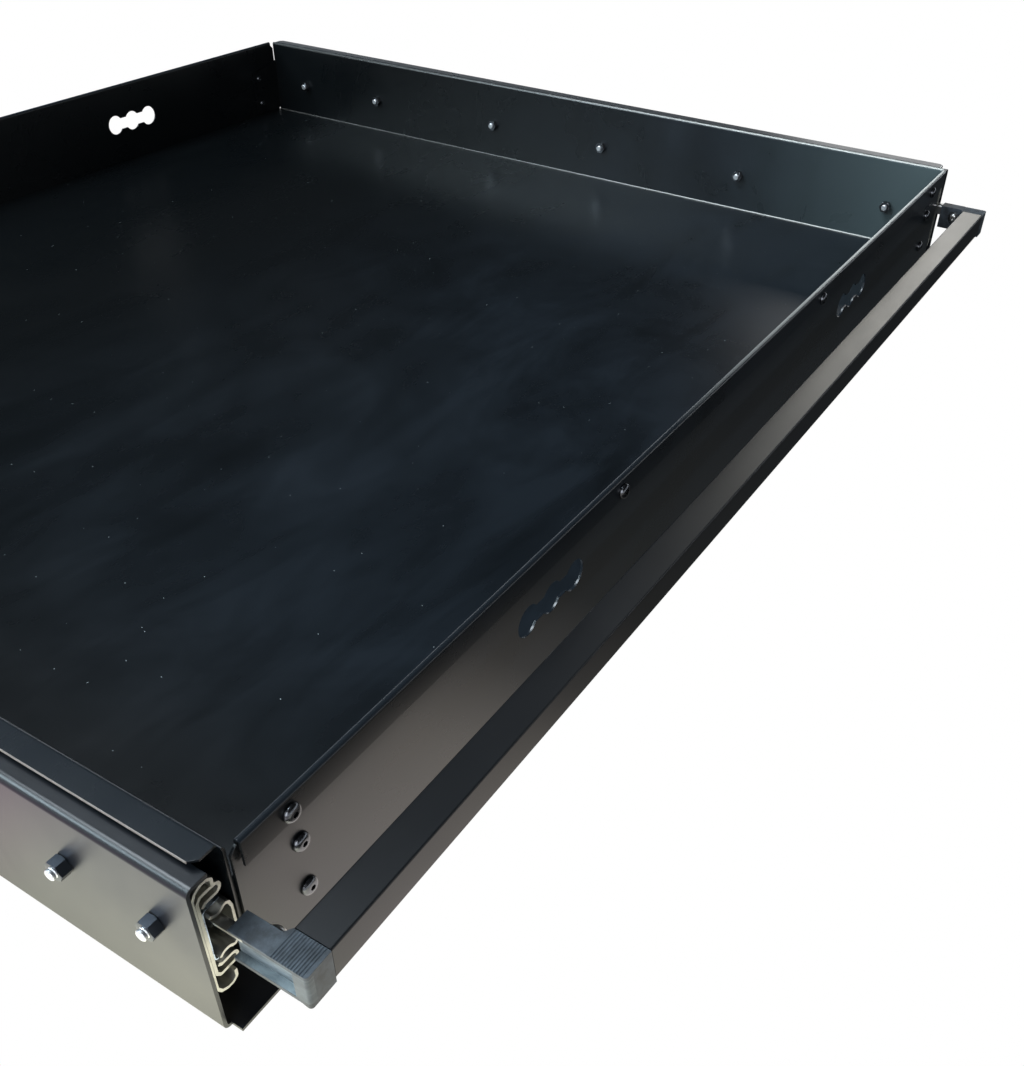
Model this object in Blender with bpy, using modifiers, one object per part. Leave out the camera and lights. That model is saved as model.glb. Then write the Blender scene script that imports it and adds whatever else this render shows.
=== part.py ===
"""Low cargo drawer on floor brackets: a folded steel tray on two three-part ball slides,
with a sprung pull bar on two plastic levers at its front. Metres, Z up, front towards -Y."""

import math

import bmesh
import bpy
from mathutils import Matrix, Vector

# Brackets
bracket_above_slide = 0.0415
bracket_sheet = 0.0020
bracket_bend = 0.0015
bracket_top_flange = 0.0089
bracket_floor_flange = 0.0300
bracket_foot_lead = 0.0065
bracket_back_lap = 0.0100
bracket_relief_width = 0.0042
bracket_relief_height = 0.0035

# Clearances and cuts
rest_gap = 0.0003
hole_clearance = 0.00035
overrun = 0.0030
join_depth = 0.0006

# Ball slide, as depth from the bracket and height from the slide's middle
slide_middle_height = 0.0585
slide_front = 0.0015
slide_end_lap = 0.00325
rail_sheet = 0.0017
rail_bend = 0.0016
outer_web_half = 0.0306
outer_shoulder_depth = 0.0032
outer_shoulder_rise = 0.0342
outer_top_depth = 0.0066
outer_top_rise = 0.03595
outer_crown_end = 0.0098
outer_lip_depth = 0.0122
outer_lip_rise = 0.0342
outer_lip_end = 0.0295
middle_web_depth = 0.0041
middle_web_half = 0.02435
middle_leg_start = 0.0062
middle_leg_rise = 0.0270
middle_fold_depth = 0.0138
middle_low_leg_rise = 0.0214
middle_low_leg_end = 0.0078
middle_lip_depth = 0.0060
middle_lip_rise = 0.0198
inner_web_depth = 0.01855
inner_web_half = 0.0092
inner_shoulder_step = 0.00115
inner_shoulder_rise = 0.0130
inner_crest_step = 0.00275
inner_crest_rise = 0.0141
inner_race_degrees = (-40.0, -147.0)
middle_front_lag = 0.0020
middle_back_lead = 0.0060

# Ball cages
outer_ball_radius = 0.0031
outer_ball_depth = 0.0080
outer_ball_rise = 0.0316
outer_cage_sheet = 0.0005
outer_cage_web_depth = 0.002625
outer_cage_web_half = 0.0290
outer_cage_arm_start = 0.0046
outer_cage_arm_end = 0.0108
inner_ball_radius = 0.0035
inner_ball_depth = 0.0108
inner_ball_rise = 0.0168
inner_cage_sheet = 0.0006
inner_cage_web_depth = 0.0056
inner_cage_arm_end = 0.0153
outer_cage_front = 0.2240
outer_cage_length = 0.4400
inner_cage_front = 0.0040
inner_cage_length = 0.6600
cage_end_margin = 0.0045
cage_ball_count = 4

# Tray
tray_half_width = 0.5000
tray_inside_back = 0.89325
tray_depth = 0.08495
tray_below_slide = 0.0380
tray_sheet = 0.0015
tray_bend = 0.0022
tray_flange_width = 0.0143
flange_setback = 0.0031
flange_corner_cut = 0.0038
flange_notch_gap = 0.0005
end_tab_width = 0.0445
end_tab_wall_drop = 0.02175
end_tab_edge_drop = 0.03105
end_tab_floor_gap = 0.0006

# End panels
panel_end_gap = 0.0005
panel_inner_face = 0.0001
panel_over_flange = 0.0003
panel_hem_radius = 0.00145
panel_hem_drop = 0.01575
panel_corner_low = 0.00745
panel_corner_high = 0.00385
panel_hem_inset = 0.0038
slot_offset_share = 0.5005
slot_rise = 0.0435
slot_lobe_radius = 0.0103
slot_lobe_pitch = 0.0250
slot_neck_half = 0.0060

# Pull bar and its levers
bar_size = 0.0200
bar_wall = 0.0015
bar_corner = 0.0012
bar_setback = 0.0002
lever_reach = 0.0487
lever_back_gap = 0.0064
lever_rise = 0.0110
lever_height = 0.0215
lever_lip_drop = 0.0008
lever_lip_length = 0.0050
lever_overlap = 0.0022
lever_width = 0.0156
lever_side_step = 0.0038
lever_front_length = 0.0202
lever_taper_length = 0.0023
lever_wall = 0.0024
lever_block = 0.0080
lever_recess_depth = 0.0038
lever_rib_margin = 0.0021
lever_rib_pitch = 0.0015
lever_rib_width = 0.0008
lever_rib_rise = 0.0006
lever_rib_count = 12
lever_spigot_depth = 0.0120
strap_sheet = 0.0015
strap_bend = 0.0013
strap_leg_inset = 0.00465
strap_low_rise = 0.0075
strap_top_rise = 0.0098
strap_neck_rise = 0.0003
strap_neck_length = 0.0180
strap_neck_slope = 0.0030
strap_plate_lap = 0.0080
strap_front_gap = 0.0087
strap_length = 0.0810
strap_tooth_length = 0.0070
strap_tooth_rise = 0.0070
strap_tooth_gap = 0.0040
strap_tooth_depth = 0.0035
release_pivot = 0.0200
lever_screw_gap = 0.0282
lever_screw_rise = 0.0020

# Fasteners
shank_radius = 0.0030
head_radius = 0.00525
head_rise = 0.0030
head_crown_radius = 0.0032
head_skirt_share = 0.35
nut_radius = 0.00577
nut_rise = 0.0052
shank_proud = 0.0020
panel_head_radius = 0.0050
panel_head_rise = 0.0027
lever_head_radius = 0.0054
lever_head_rise = 0.0042
pin_head_rise = 0.0026
pin_collar_radius = 0.0048
sunk_head_radius = 0.0056
sunk_head_step = 0.0001
bracket_nut_rise = 0.0060
bracket_shank_proud = 0.0025
floor_hole_radius = 0.0035
screw_end_proud = 0.0024
round_sides = 10
race_steps = 6

# Places of the fasteners: shares of a length or half width, insets from the tray's sides,
# and rises above the slide's middle
bracket_bolt_rise = 0.0035
bracket_bolt_shares = (0.0291111, 0.0918889, 0.3333333, 0.6111111, 0.8888889)
tray_bolt_shares = (0.0548559, 0.2423734, 0.4366079, 0.6062133, 0.8071648, 0.9403862)
floor_hole_shares = (0.0666667, 0.3555556, 0.6444444, 0.9333333)
floor_hole_inset = 0.0120
front_end_screw_inset = 0.0370
front_end_screw_rises = (0.0115, -0.0197)
back_end_screw_inset = 0.0343
back_end_screw_rises = (0.0088, -0.0216)
hem_screw_drop = 0.00975
hem_screw_shares = (-0.9352, -0.3488, 0.3138, 0.9082)

# Sizes that follow from the ones above
tray_side_face = tray_half_width + tray_sheet
bracket_inner_face = tray_side_face + rest_gap + rail_sheet / 2 + inner_web_depth
bracket_half_width = bracket_inner_face + bracket_sheet
bracket_height = slide_middle_height + bracket_above_slide
slide_length = tray_inside_back - slide_end_lap
bracket_length = slide_length + bracket_back_lap
inner_race_radius = inner_ball_radius + rest_gap + rail_sheet / 2
tray_underside_height = slide_middle_height - tray_below_slide
tray_flange_top = tray_underside_height + tray_depth
tray_flange_edge = tray_half_width + tray_flange_width
end_tab_wall_height = tray_flange_top - end_tab_wall_drop
end_tab_edge_height = tray_flange_top - end_tab_edge_drop
panel_half_width = tray_half_width - panel_end_gap
panel_hem_half_width = panel_half_width - panel_hem_inset
panel_top = tray_flange_top + panel_over_flange
panel_hem_end = panel_top - panel_hem_drop
panel_corner_drop = panel_top - panel_corner_low
panel_corner_rise = panel_top - panel_corner_high
panel_front_face = panel_inner_face - tray_sheet
panel_back_face = tray_inside_back + tray_sheet
slot_offset = tray_half_width * slot_offset_share
slot_height = tray_underside_height + slot_rise
lever_front = -lever_reach
lever_back = -lever_back_gap
lever_top = slide_middle_height + lever_rise
lever_bottom = lever_top - lever_height
lever_lip_bottom = lever_bottom - lever_lip_drop
lever_wide_inner = tray_half_width - lever_overlap
lever_outer = lever_wide_inner + lever_width
lever_slim_inner = lever_wide_inner + lever_side_step
lever_taper_front = lever_front + lever_front_length
lever_taper_back = lever_taper_front + lever_taper_length
lever_rib_first = lever_front + lever_rib_margin
lever_screw_depth = lever_front + lever_screw_gap
lever_screw_height = slide_middle_height + lever_screw_rise
bar_front = lever_front + bar_setback
bar_top = lever_top
strap_front = lever_front + strap_front_gap
strap_back = strap_front + strap_length
strap_top = slide_middle_height + strap_top_rise
strap_leg_outer = lever_outer - strap_leg_inset
strap_leg_inner = strap_leg_outer - strap_sheet
bracket_bolt_height = slide_middle_height + bracket_bolt_rise
bracket_bolt_places = [bracket_length * share for share in bracket_bolt_shares]
tray_bolt_places = [tray_inside_back * share for share in tray_bolt_shares]
floor_hole_places = [bracket_length * share for share in floor_hole_shares]
front_end_screw_side = tray_half_width - front_end_screw_inset
front_end_screw_heights = [slide_middle_height + rise for rise in front_end_screw_rises]
back_end_screw_side = tray_half_width - back_end_screw_inset
back_end_screw_heights = [slide_middle_height + rise for rise in back_end_screw_rises]
hem_screw_height = panel_top - hem_screw_drop
hem_screw_sides = [tray_half_width * share for share in hem_screw_shares]
middle_of_length = (bracket_length + lever_front) / 2
side_names = {-1: "left", 1: "right"}


def clear_scene():
    """Takes the startup objects away."""
    for obj in list(bpy.data.objects):
        bpy.data.objects.remove(obj, do_unlink=True)


def make_collection(name, helper):
    """A collection of its own, hidden from the render where it holds cutters."""
    collection = bpy.data.collections.new(name)
    bpy.context.scene.collection.children.link(collection)
    collection.hide_render = helper
    return collection


def make_material(name, colour, roughness, metallic):
    """A plain surface: base colour, roughness and whether it is bare metal."""
    material = bpy.data.materials.new(name)
    material.use_nodes = True
    shader = material.node_tree.nodes["Principled BSDF"]
    shader.inputs["Base Color"].default_value = (*colour, 1.0)
    shader.inputs["Roughness"].default_value = roughness
    shader.inputs["Metallic"].default_value = metallic
    return material


clear_scene()
pieces = make_collection("van_drawer_system", False)
cutters = make_collection("cutters", True)
bracket_paint = make_material("bracket_grey_coating", (0.30, 0.29, 0.28), 0.45, 0.0)
tray_paint = make_material("tray_dark_coating", (0.018, 0.024, 0.028), 0.40, 0.0)
rail_zinc = make_material("rail_zinc_plate", (0.62, 0.61, 0.57), 0.35, 1.0)
cage_zinc = make_material("cage_blue_zinc", (0.55, 0.63, 0.72), 0.30, 1.0)
lever_plastic = make_material("lever_grey_plastic", (0.10, 0.115, 0.13), 0.50, 0.0)
bar_paint = make_material("bar_dark_coating", (0.035, 0.032, 0.030), 0.40, 0.0)
strap_steel = make_material("strap_bright_steel", (0.60, 0.60, 0.60), 0.30, 1.0)
screw_black = make_material("screw_black_zinc", (0.03, 0.03, 0.032), 0.35, 1.0)
nut_zinc = make_material("nut_grey_zinc", (0.35, 0.36, 0.38), 0.35, 1.0)


def make_body(name, depth, height):
    """An empty that one rigid body of the object hangs on, at its joint."""
    empty = bpy.data.objects.new(name, None)
    empty.empty_display_size = bracket_height
    empty.location = (0.0, depth - middle_of_length, height)
    pieces.objects.link(empty)
    return empty


def place(name, mesh, body, material, collection):
    """An object of this mesh, drawn from the bracket's front edge, hung on its body."""
    obj = bpy.data.objects.new(name, mesh)
    collection.objects.link(obj)
    obj.parent = body
    obj.location = (0.0, -middle_of_length - body.location.y, -body.location.z)
    if material is not None:
        mesh.materials.append(material)
    return obj


def finish_mesh(name, bm):
    """The mesh of a shape, with its faces turned outwards."""
    bmesh.ops.recalc_face_normals(bm, faces=bm.faces)
    mesh = bpy.data.meshes.new(name)
    bm.to_mesh(mesh)
    bm.free()
    return mesh


def spot(axis, along, first, second):
    """A point from its place along an axis and its two places across it."""
    if axis == "X":
        return Vector((along, first, second))
    if axis == "Y":
        return Vector((first, along, second))
    return Vector((first, second, along))


def add_prism(bm, outline, axis, start, end):
    """A flat outline drawn across an axis, carried along it."""
    corners = [bm.verts.new(spot(axis, start, *point)) for point in outline]
    face = bm.faces.new(corners)
    grown = bmesh.ops.extrude_face_region(bm, geom=[face])
    moved = [item for item in grown["geom"] if isinstance(item, bmesh.types.BMVert)]
    bmesh.ops.translate(bm, verts=moved, vec=spot(axis, end - start, 0.0, 0.0))


def add_box(bm, low, high):
    """A plain block between two corners."""
    outline = [(low[0], low[1]), (high[0], low[1]), (high[0], high[1]), (low[0], high[1])]
    add_prism(bm, outline, "Z", low[2], high[2])


def add_hole(bm, axis, centre, radius, length, sides):
    """A round cutter that stands on its axis, centred on a point."""
    turn = {"X": Matrix.Rotation(math.pi / 2, 4, "Y"), "Y": Matrix.Rotation(math.pi / 2, 4, "X")}
    matrix = Matrix.Translation(centre) @ turn.get(axis, Matrix.Identity(4))
    bmesh.ops.create_cone(
        bm,
        cap_ends=True,
        segments=sides,
        radius1=radius,
        radius2=radius,
        depth=length,
        matrix=matrix,
    )


def rounded(points, radii, steps):
    """The line through these points with each inner corner bent to its radius."""
    line = [Vector(points[0])]
    for index in range(1, len(points) - 1):
        corner = Vector(points[index])
        back = (Vector(points[index - 1]) - corner).normalized()
        ahead = (Vector(points[index + 1]) - corner).normalized()
        radius = radii[index - 1]
        half = back.angle(ahead) / 2
        reach = radius / math.tan(half)
        start = corner + back * reach
        end = corner + ahead * reach
        centre = corner + (back + ahead).normalized() * radius / math.sin(half)
        first = start - centre
        sweep = first.angle_signed(end - centre)
        for step in range(steps + 1):
            turned = first.copy()
            turned.rotate(Matrix.Rotation(-sweep * step / steps, 2))
            line.append(centre + turned)
    line.append(Vector(points[-1]))
    return [(point.x, point.y) for point in line]


def strip_mesh(name, line, axis, start, end):
    """An open skin: a line drawn across an axis, carried along it."""
    bm = bmesh.new()
    near = [bm.verts.new(spot(axis, start, *point)) for point in line]
    edges = [bm.edges.new(pair) for pair in zip(near, near[1:])]
    grown = bmesh.ops.extrude_edge_only(bm, edges=edges)
    moved = [item for item in grown["geom"] if isinstance(item, bmesh.types.BMVert)]
    bmesh.ops.translate(bm, verts=moved, vec=spot(axis, end - start, 0.0, 0.0))
    return finish_mesh(name, bm)


def give_thickness(obj, sheet):
    """Turns an open skin into sheet, half of it on each side."""
    thick = obj.modifiers.new("sheet", "SOLIDIFY")
    thick.thickness = sheet
    thick.offset = 0.0
    thick.use_even_offset = True


def combine(obj, mesh, operation):
    """Cuts a shape out of an object, or joins one to it."""
    helper = place(mesh.name, mesh, obj.parent, None, cutters)
    helper.hide_render = True
    helper.display_type = "WIRE"
    boolean = obj.modifiers.new(mesh.name, "BOOLEAN")
    boolean.operation = operation
    boolean.object = helper
    boolean.solver = "EXACT"


def smooth(obj):
    """Shades the bends smooth and keeps the hard edges."""
    obj.data.shade_smooth()
    obj.data.set_sharp_from_angle(angle=math.radians(35.0))


def spun(bm, profile, sides):
    """A round shape about X, from its profile of places along X and radii."""
    points = [bm.verts.new((along, 0.0, radius)) for along, radius in profile]
    edges = [bm.edges.new(pair) for pair in zip(points, points[1:])]
    bmesh.ops.spin(
        bm,
        geom=points + edges,
        cent=(0.0, 0.0, 0.0),
        axis=(1.0, 0.0, 0.0),
        angle=math.tau,
        steps=sides,
        use_merge=True,
    )
    bmesh.ops.remove_doubles(bm, verts=bm.verts, dist=rest_gap / 10)


def baked(name, bm, extra):
    """One mesh of a shape with a second shape joined to it."""
    body = bpy.data.objects.new(name, finish_mesh(name, bm))
    other = bpy.data.objects.new(name + "_extra", finish_mesh(name + "_extra", extra))
    for obj in (body, other):
        cutters.objects.link(obj)
    boolean = body.modifiers.new("join", "BOOLEAN")
    boolean.operation = "UNION"
    boolean.object = other
    boolean.solver = "EXACT"
    graph = bpy.context.evaluated_depsgraph_get()
    mesh = bpy.data.meshes.new_from_object(body.evaluated_get(graph))
    for obj in (body, other):
        bpy.data.objects.remove(obj, do_unlink=True)
    return mesh


def hex_nut(start, end):
    """A six-sided nut about X."""
    bm = bmesh.new()
    corners = []
    for index in range(6):
        turn = math.tau * index / 6
        corners.append((nut_radius * math.cos(turn), nut_radius * math.sin(turn)))
    add_prism(bm, corners, "X", start, end)
    return bm


def button_head(start, radius, rise):
    """The profile of a rounded screw head, its seat at this place."""
    top = start - rise
    return [
        (top, 0.0),
        (top, head_crown_radius),
        (start - rise * head_skirt_share, radius),
        (start, radius),
    ]


def bolt_mesh(name, head, nut_start, nut_end, end):
    """A screw about X with a nut run onto it: the head's profile, then the shank."""
    bm = bmesh.new()
    seat = head[-1][0]
    spun(bm, [*head, (seat, shank_radius), (end, shank_radius), (end, 0.0)], round_sides)
    return baked(name, bm, hex_nut(nut_start, nut_end))


def screw_mesh(name, head, end):
    """A screw about X without a nut."""
    bm = bmesh.new()
    seat = head[-1][0]
    spun(bm, [*head, (seat, shank_radius), (end, shank_radius), (end, 0.0)], round_sides)
    return finish_mesh(name, bm)


def set_fastener(name, mesh, body, point, turn):
    """A copy of a fastener at a point drawn from the bracket's front edge."""
    obj = bpy.data.objects.new(name, mesh)
    pieces.objects.link(obj)
    obj.parent = body
    x, y, z = point
    obj.location = (x, y - middle_of_length - body.location.y, z - body.location.z)
    obj.rotation_euler = (0.0, 0.0, turn)
    smooth(obj)
    return obj


def slide_line(points, radii, side, steps):
    """The slide's sheet line on one side, from depths and heights of its upper half."""
    lower = [(depth, -rise) for depth, rise in reversed(points)]
    whole = [*lower, *points]
    line = rounded(whole, [*reversed(radii), *radii], steps)
    return [
        (side * (bracket_inner_face - depth), slide_middle_height + rise) for depth, rise in line
    ]


def slide_spot(side, depth, rise):
    """A place in the slide, across the drawer and up."""
    return side * (bracket_inner_face - depth), slide_middle_height + rise


def build_bracket(side, body):
    """A folded upright that is screwed to the floor, with its foot a little ahead."""
    name = side_names[side] + "_floor_bracket"
    half = bracket_sheet / 2
    outer = bracket_half_width - half
    path = [
        (side * (bracket_half_width - bracket_top_flange), bracket_height - half),
        (side * outer, bracket_height - half),
        (side * outer, half),
        (side * (bracket_half_width - bracket_floor_flange), half),
    ]
    line = rounded(path, [bracket_bend, bracket_bend], 3)
    mesh = strip_mesh(name, line, "Y", -bracket_foot_lead, bracket_length)
    obj = place(name, mesh, body, bracket_paint, pieces)
    give_thickness(obj, bracket_sheet)
    bm = bmesh.new()
    inward = bracket_half_width - bracket_top_flange - overrun
    relief = bracket_half_width - bracket_relief_width
    outline = [
        (side * inward, bracket_height + overrun),
        (side * inward, bracket_relief_height),
        (side * relief, bracket_relief_height),
        (side * relief, -overrun),
        (side * (bracket_half_width + overrun), -overrun),
        (side * (bracket_half_width + overrun), bracket_height + overrun),
    ]
    add_prism(bm, outline, "Y", -bracket_foot_lead - overrun, 0.0)
    combine(obj, finish_mesh(name + "_front_cut", bm), "DIFFERENCE")
    bm = bmesh.new()
    for place_along in bracket_bolt_places:
        centre = Vector((side * outer, place_along, bracket_bolt_height))
        length = bracket_sheet + 2 * overrun
        add_hole(bm, "X", centre, shank_radius + hole_clearance, length, round_sides)
    across = side * (bracket_half_width - bracket_floor_flange + floor_hole_inset)
    for place_along in floor_hole_places:
        centre = Vector((across, place_along, half))
        length = bracket_sheet + 2 * overrun
        add_hole(bm, "Z", centre, floor_hole_radius, length, round_sides)
    combine(obj, finish_mesh(name + "_holes", bm), "DIFFERENCE")
    smooth(obj)


def build_outer_rail(side, body):
    """The rail that stays on the bracket: a web with a curled race at its top and bottom."""
    name = side_names[side] + "_outer_rail"
    web = rest_gap + rail_sheet / 2
    points = [
        (web, outer_web_half),
        (outer_shoulder_depth, outer_shoulder_rise),
        (outer_top_depth, outer_top_rise),
        (outer_crown_end, outer_top_rise),
        (outer_lip_depth, outer_lip_rise),
        (outer_lip_depth, outer_lip_end),
    ]
    radii = [rail_bend] * (len(points) - 1)
    line = slide_line(points, radii, side, 2)
    mesh = strip_mesh(name, line, "Y", slide_front, slide_front + slide_length)
    obj = place(name, mesh, body, rail_zinc, pieces)
    give_thickness(obj, rail_sheet)
    bm = bmesh.new()
    deep = rest_gap + rail_sheet
    for place_along in bracket_bolt_places:
        profile = [
            (side * (bracket_inner_face - deep - sunk_head_radius), 0.0),
            (side * (bracket_inner_face - deep - overrun), sunk_head_radius + hole_clearance + overrun),
            (side * (bracket_inner_face + overrun), sunk_head_radius + hole_clearance - deep - overrun),
            (side * (bracket_inner_face + overrun), 0.0),
        ]
        part = bmesh.new()
        spun(part, profile, round_sides)
        bmesh.ops.translate(
            part, verts=part.verts, vec=(0.0, place_along, bracket_bolt_height)
        )
        copy = finish_mesh(name + "_sink", part)
        bm.from_mesh(copy)
        bpy.data.meshes.remove(copy)
    combine(obj, finish_mesh(name + "_sinks", bm), "DIFFERENCE")
    smooth(obj)


def build_middle_rail(side, body):
    """The rail between the two others: each edge folded back on itself."""
    name = side_names[side] + "_middle_rail"
    points = [
        (middle_web_depth, middle_web_half),
        (middle_leg_start, middle_leg_rise),
        (middle_fold_depth, middle_leg_rise),
    ]
    fold_radius = (middle_leg_rise - middle_low_leg_rise) / 2
    fold_middle = (middle_leg_rise + middle_low_leg_rise) / 2
    fold = []
    for step in range(1, 6):
        turn = math.pi * step / 6
        fold.append(
            (
                middle_fold_depth + fold_radius * math.sin(turn),
                fold_middle + fold_radius * math.cos(turn),
            )
        )
    path = [
        *rounded(points, [rail_bend / 2], 2),
        *fold,
        (middle_fold_depth, middle_low_leg_rise),
        (middle_low_leg_end, middle_low_leg_rise),
        (middle_lip_depth, middle_lip_rise),
    ]
    lower = [(depth, -rise) for depth, rise in reversed(path)]
    line = [slide_spot(side, depth, rise) for depth, rise in [*lower, *path]]
    start = slide_front + middle_front_lag
    mesh = strip_mesh(name, line, "Y", start, slide_front + slide_length - middle_back_lead)
    obj = place(name, mesh, body, rail_zinc, pieces)
    give_thickness(obj, rail_sheet)
    smooth(obj)


def build_inner_rail(side, body):
    """The rail that is bolted to the tray's wall: each edge is curled to cup its balls."""
    name = side_names[side] + "_inner_rail"
    path = [
        (inner_web_depth, inner_web_half),
        (inner_web_depth - inner_shoulder_step, inner_shoulder_rise),
        (inner_web_depth - inner_crest_step, inner_crest_rise),
    ]
    first, last = inner_race_degrees
    for step in range(race_steps + 1):
        turn = math.radians(first + (last - first) * step / race_steps)
        path.append(
            (
                inner_ball_depth + inner_race_radius * math.cos(turn),
                inner_ball_rise + inner_race_radius * math.sin(turn),
            )
        )
    lower = [(depth, -rise) for depth, rise in reversed(path)]
    line = [slide_spot(side, depth, rise) for depth, rise in [*lower, *path]]
    mesh = strip_mesh(name, line, "Y", slide_front, slide_front + slide_length)
    obj = place(name, mesh, body, rail_zinc, pieces)
    give_thickness(obj, rail_sheet)
    across = side * (bracket_inner_face - inner_web_depth)
    bm = bmesh.new()
    for place_along in (*tray_bolt_places, release_pivot):
        centre = Vector((across, place_along, slide_middle_height))
        length = rail_sheet + 2 * overrun
        add_hole(bm, "X", centre, shank_radius + hole_clearance, length, round_sides)
    combine(obj, finish_mesh(name + "_holes", bm), "DIFFERENCE")
    smooth(obj)


def add_balls(bm, side, depth, rise, radius, front, length):
    """The two rows of balls of one cage."""
    first = front + cage_end_margin
    pitch = (length - 2 * cage_end_margin) / (cage_ball_count - 1)
    for way in (-1, 1):
        across, up = slide_spot(side, depth, way * rise)
        for index in range(cage_ball_count):
            centre = Vector((across, first + index * pitch, up))
            bmesh.ops.create_icosphere(
                bm, subdivisions=2, radius=radius, matrix=Matrix.Translation(centre)
            )


def build_outer_cage(side, body):
    """The strip that keeps the outer balls apart, with its balls."""
    name = side_names[side] + "_outer_ball_cage"
    points = [
        (outer_cage_web_depth, outer_cage_web_half),
        (outer_cage_arm_start, outer_ball_rise),
        (outer_cage_arm_end, outer_ball_rise),
    ]
    line = slide_line(points, [rail_bend / 2] * 2, side, 2)
    start, length = outer_cage_front, outer_cage_length
    mesh = strip_mesh(name, line, "Y", start, start + length)
    obj = place(name, mesh, body, cage_zinc, pieces)
    give_thickness(obj, outer_cage_sheet)
    bm = bmesh.new()
    add_balls(bm, side, outer_ball_depth, outer_ball_rise, outer_ball_radius, start, length)
    combine(obj, finish_mesh(name + "_balls", bm), "UNION")
    smooth(obj)


def build_inner_cage(side, body):
    """The strip that keeps the inner balls apart, with its balls."""
    name = side_names[side] + "_inner_ball_cage"
    points = [
        (inner_cage_web_depth, inner_ball_rise),
        (inner_cage_arm_end, inner_ball_rise),
    ]
    line = slide_line(points, [rail_bend], side, 2)
    start, length = inner_cage_front, inner_cage_length
    mesh = strip_mesh(name, line, "Y", start, start + length)
    obj = place(name, mesh, body, cage_zinc, pieces)
    give_thickness(obj, inner_cage_sheet)
    bm = bmesh.new()
    add_balls(bm, side, inner_ball_depth, inner_ball_rise, inner_ball_radius, start, length)
    combine(obj, finish_mesh(name + "_balls", bm), "UNION")
    smooth(obj)


def mirrored_depth(depth):
    """The same place measured from the tray's other end."""
    return tray_inside_back + panel_inner_face - depth


def build_tray(body):
    """The folded floor and sides of the tray, with a tab at each end of each side."""
    half = tray_sheet / 2
    wall = tray_half_width + half
    top = tray_flange_top - half
    floor = tray_underside_height + half
    path = [
        (-tray_flange_edge, top),
        (-wall, top),
        (-wall, floor),
        (wall, floor),
        (wall, top),
        (tray_flange_edge, top),
    ]
    line = rounded(path, [tray_bend] * 4, 4)
    front = panel_inner_face + rest_gap
    mesh = strip_mesh("tray_pan", line, "Y", front, mirrored_depth(front))
    obj = place("tray_pan", mesh, body, tray_paint, pieces)
    give_thickness(obj, tray_sheet)
    tabs = bmesh.new()
    notches = bmesh.new()
    holes = bmesh.new()
    for side in (-1, 1):
        low = tray_underside_height + tray_sheet + tray_bend + end_tab_floor_gap
        inner = tray_half_width - end_tab_width
        fast = tray_half_width + join_depth
        tab = [
            (side * inner, low),
            (side * fast, low),
            (side * fast, end_tab_wall_height),
            (side * inner, end_tab_edge_height),
        ]
        for start, end in (
            (front, front + tray_sheet),
            (mirrored_depth(front + tray_sheet), mirrored_depth(front)),
        ):
            add_prism(tabs, tab, "Y", start, end)
        near = tray_side_face + flange_notch_gap
        far = tray_flange_edge + overrun
        setback = front + flange_setback
        chamfer = setback + flange_corner_cut
        notch = [
            (near, -overrun),
            (far, -overrun),
            (far, chamfer + overrun),
            (tray_flange_edge - flange_corner_cut, setback),
            (near, setback),
        ]
        for flip in (False, True):
            outline = [
                (side * x, mirrored_depth(y) if flip else y) for x, y in notch
            ]
            low_cut = tray_flange_top - tray_sheet - overrun
            add_prism(notches, outline, "Z", low_cut, tray_flange_top + overrun)
        for place_along in tray_bolt_places:
            centre = Vector((side * wall, place_along, slide_middle_height))
            length = tray_sheet + 2 * overrun
            add_hole(holes, "X", centre, shank_radius + hole_clearance, length, round_sides)
        for across, heights, depth in (
            (front_end_screw_side, front_end_screw_heights, front),
            (back_end_screw_side, back_end_screw_heights, mirrored_depth(front)),
        ):
            for height in heights:
                centre = Vector((side * across, depth, height))
                length = 2 * (tray_sheet + overrun)
                add_hole(
                    holes, "Y", centre, shank_radius + hole_clearance, length, round_sides
                )
    combine(obj, finish_mesh("tray_tabs", tabs), "UNION")
    combine(obj, finish_mesh("tray_flange_notches", notches), "DIFFERENCE")
    combine(obj, finish_mesh("tray_holes", holes), "DIFFERENCE")
    smooth(obj)


def slot_outline(centre):
    """The three-lobed hand slot."""
    waist = math.asin(slot_neck_half / slot_lobe_radius)
    points = []
    upper = []
    for index in (-1, 0, 1):
        start = math.pi - waist if index > -1 else math.pi
        end = waist if index < 1 else 0.0
        for step in range(9):
            turn = start + (end - start) * step / 8
            upper.append(
                (
                    centre + index * slot_lobe_pitch + slot_lobe_radius * math.cos(turn),
                    slot_lobe_radius * math.sin(turn),
                )
            )
    for across, rise in upper:
        points.append((across, slot_height + rise))
    for across, rise in reversed(upper[1:-1]):
        points.append((across, slot_height - rise))
    return points


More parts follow.
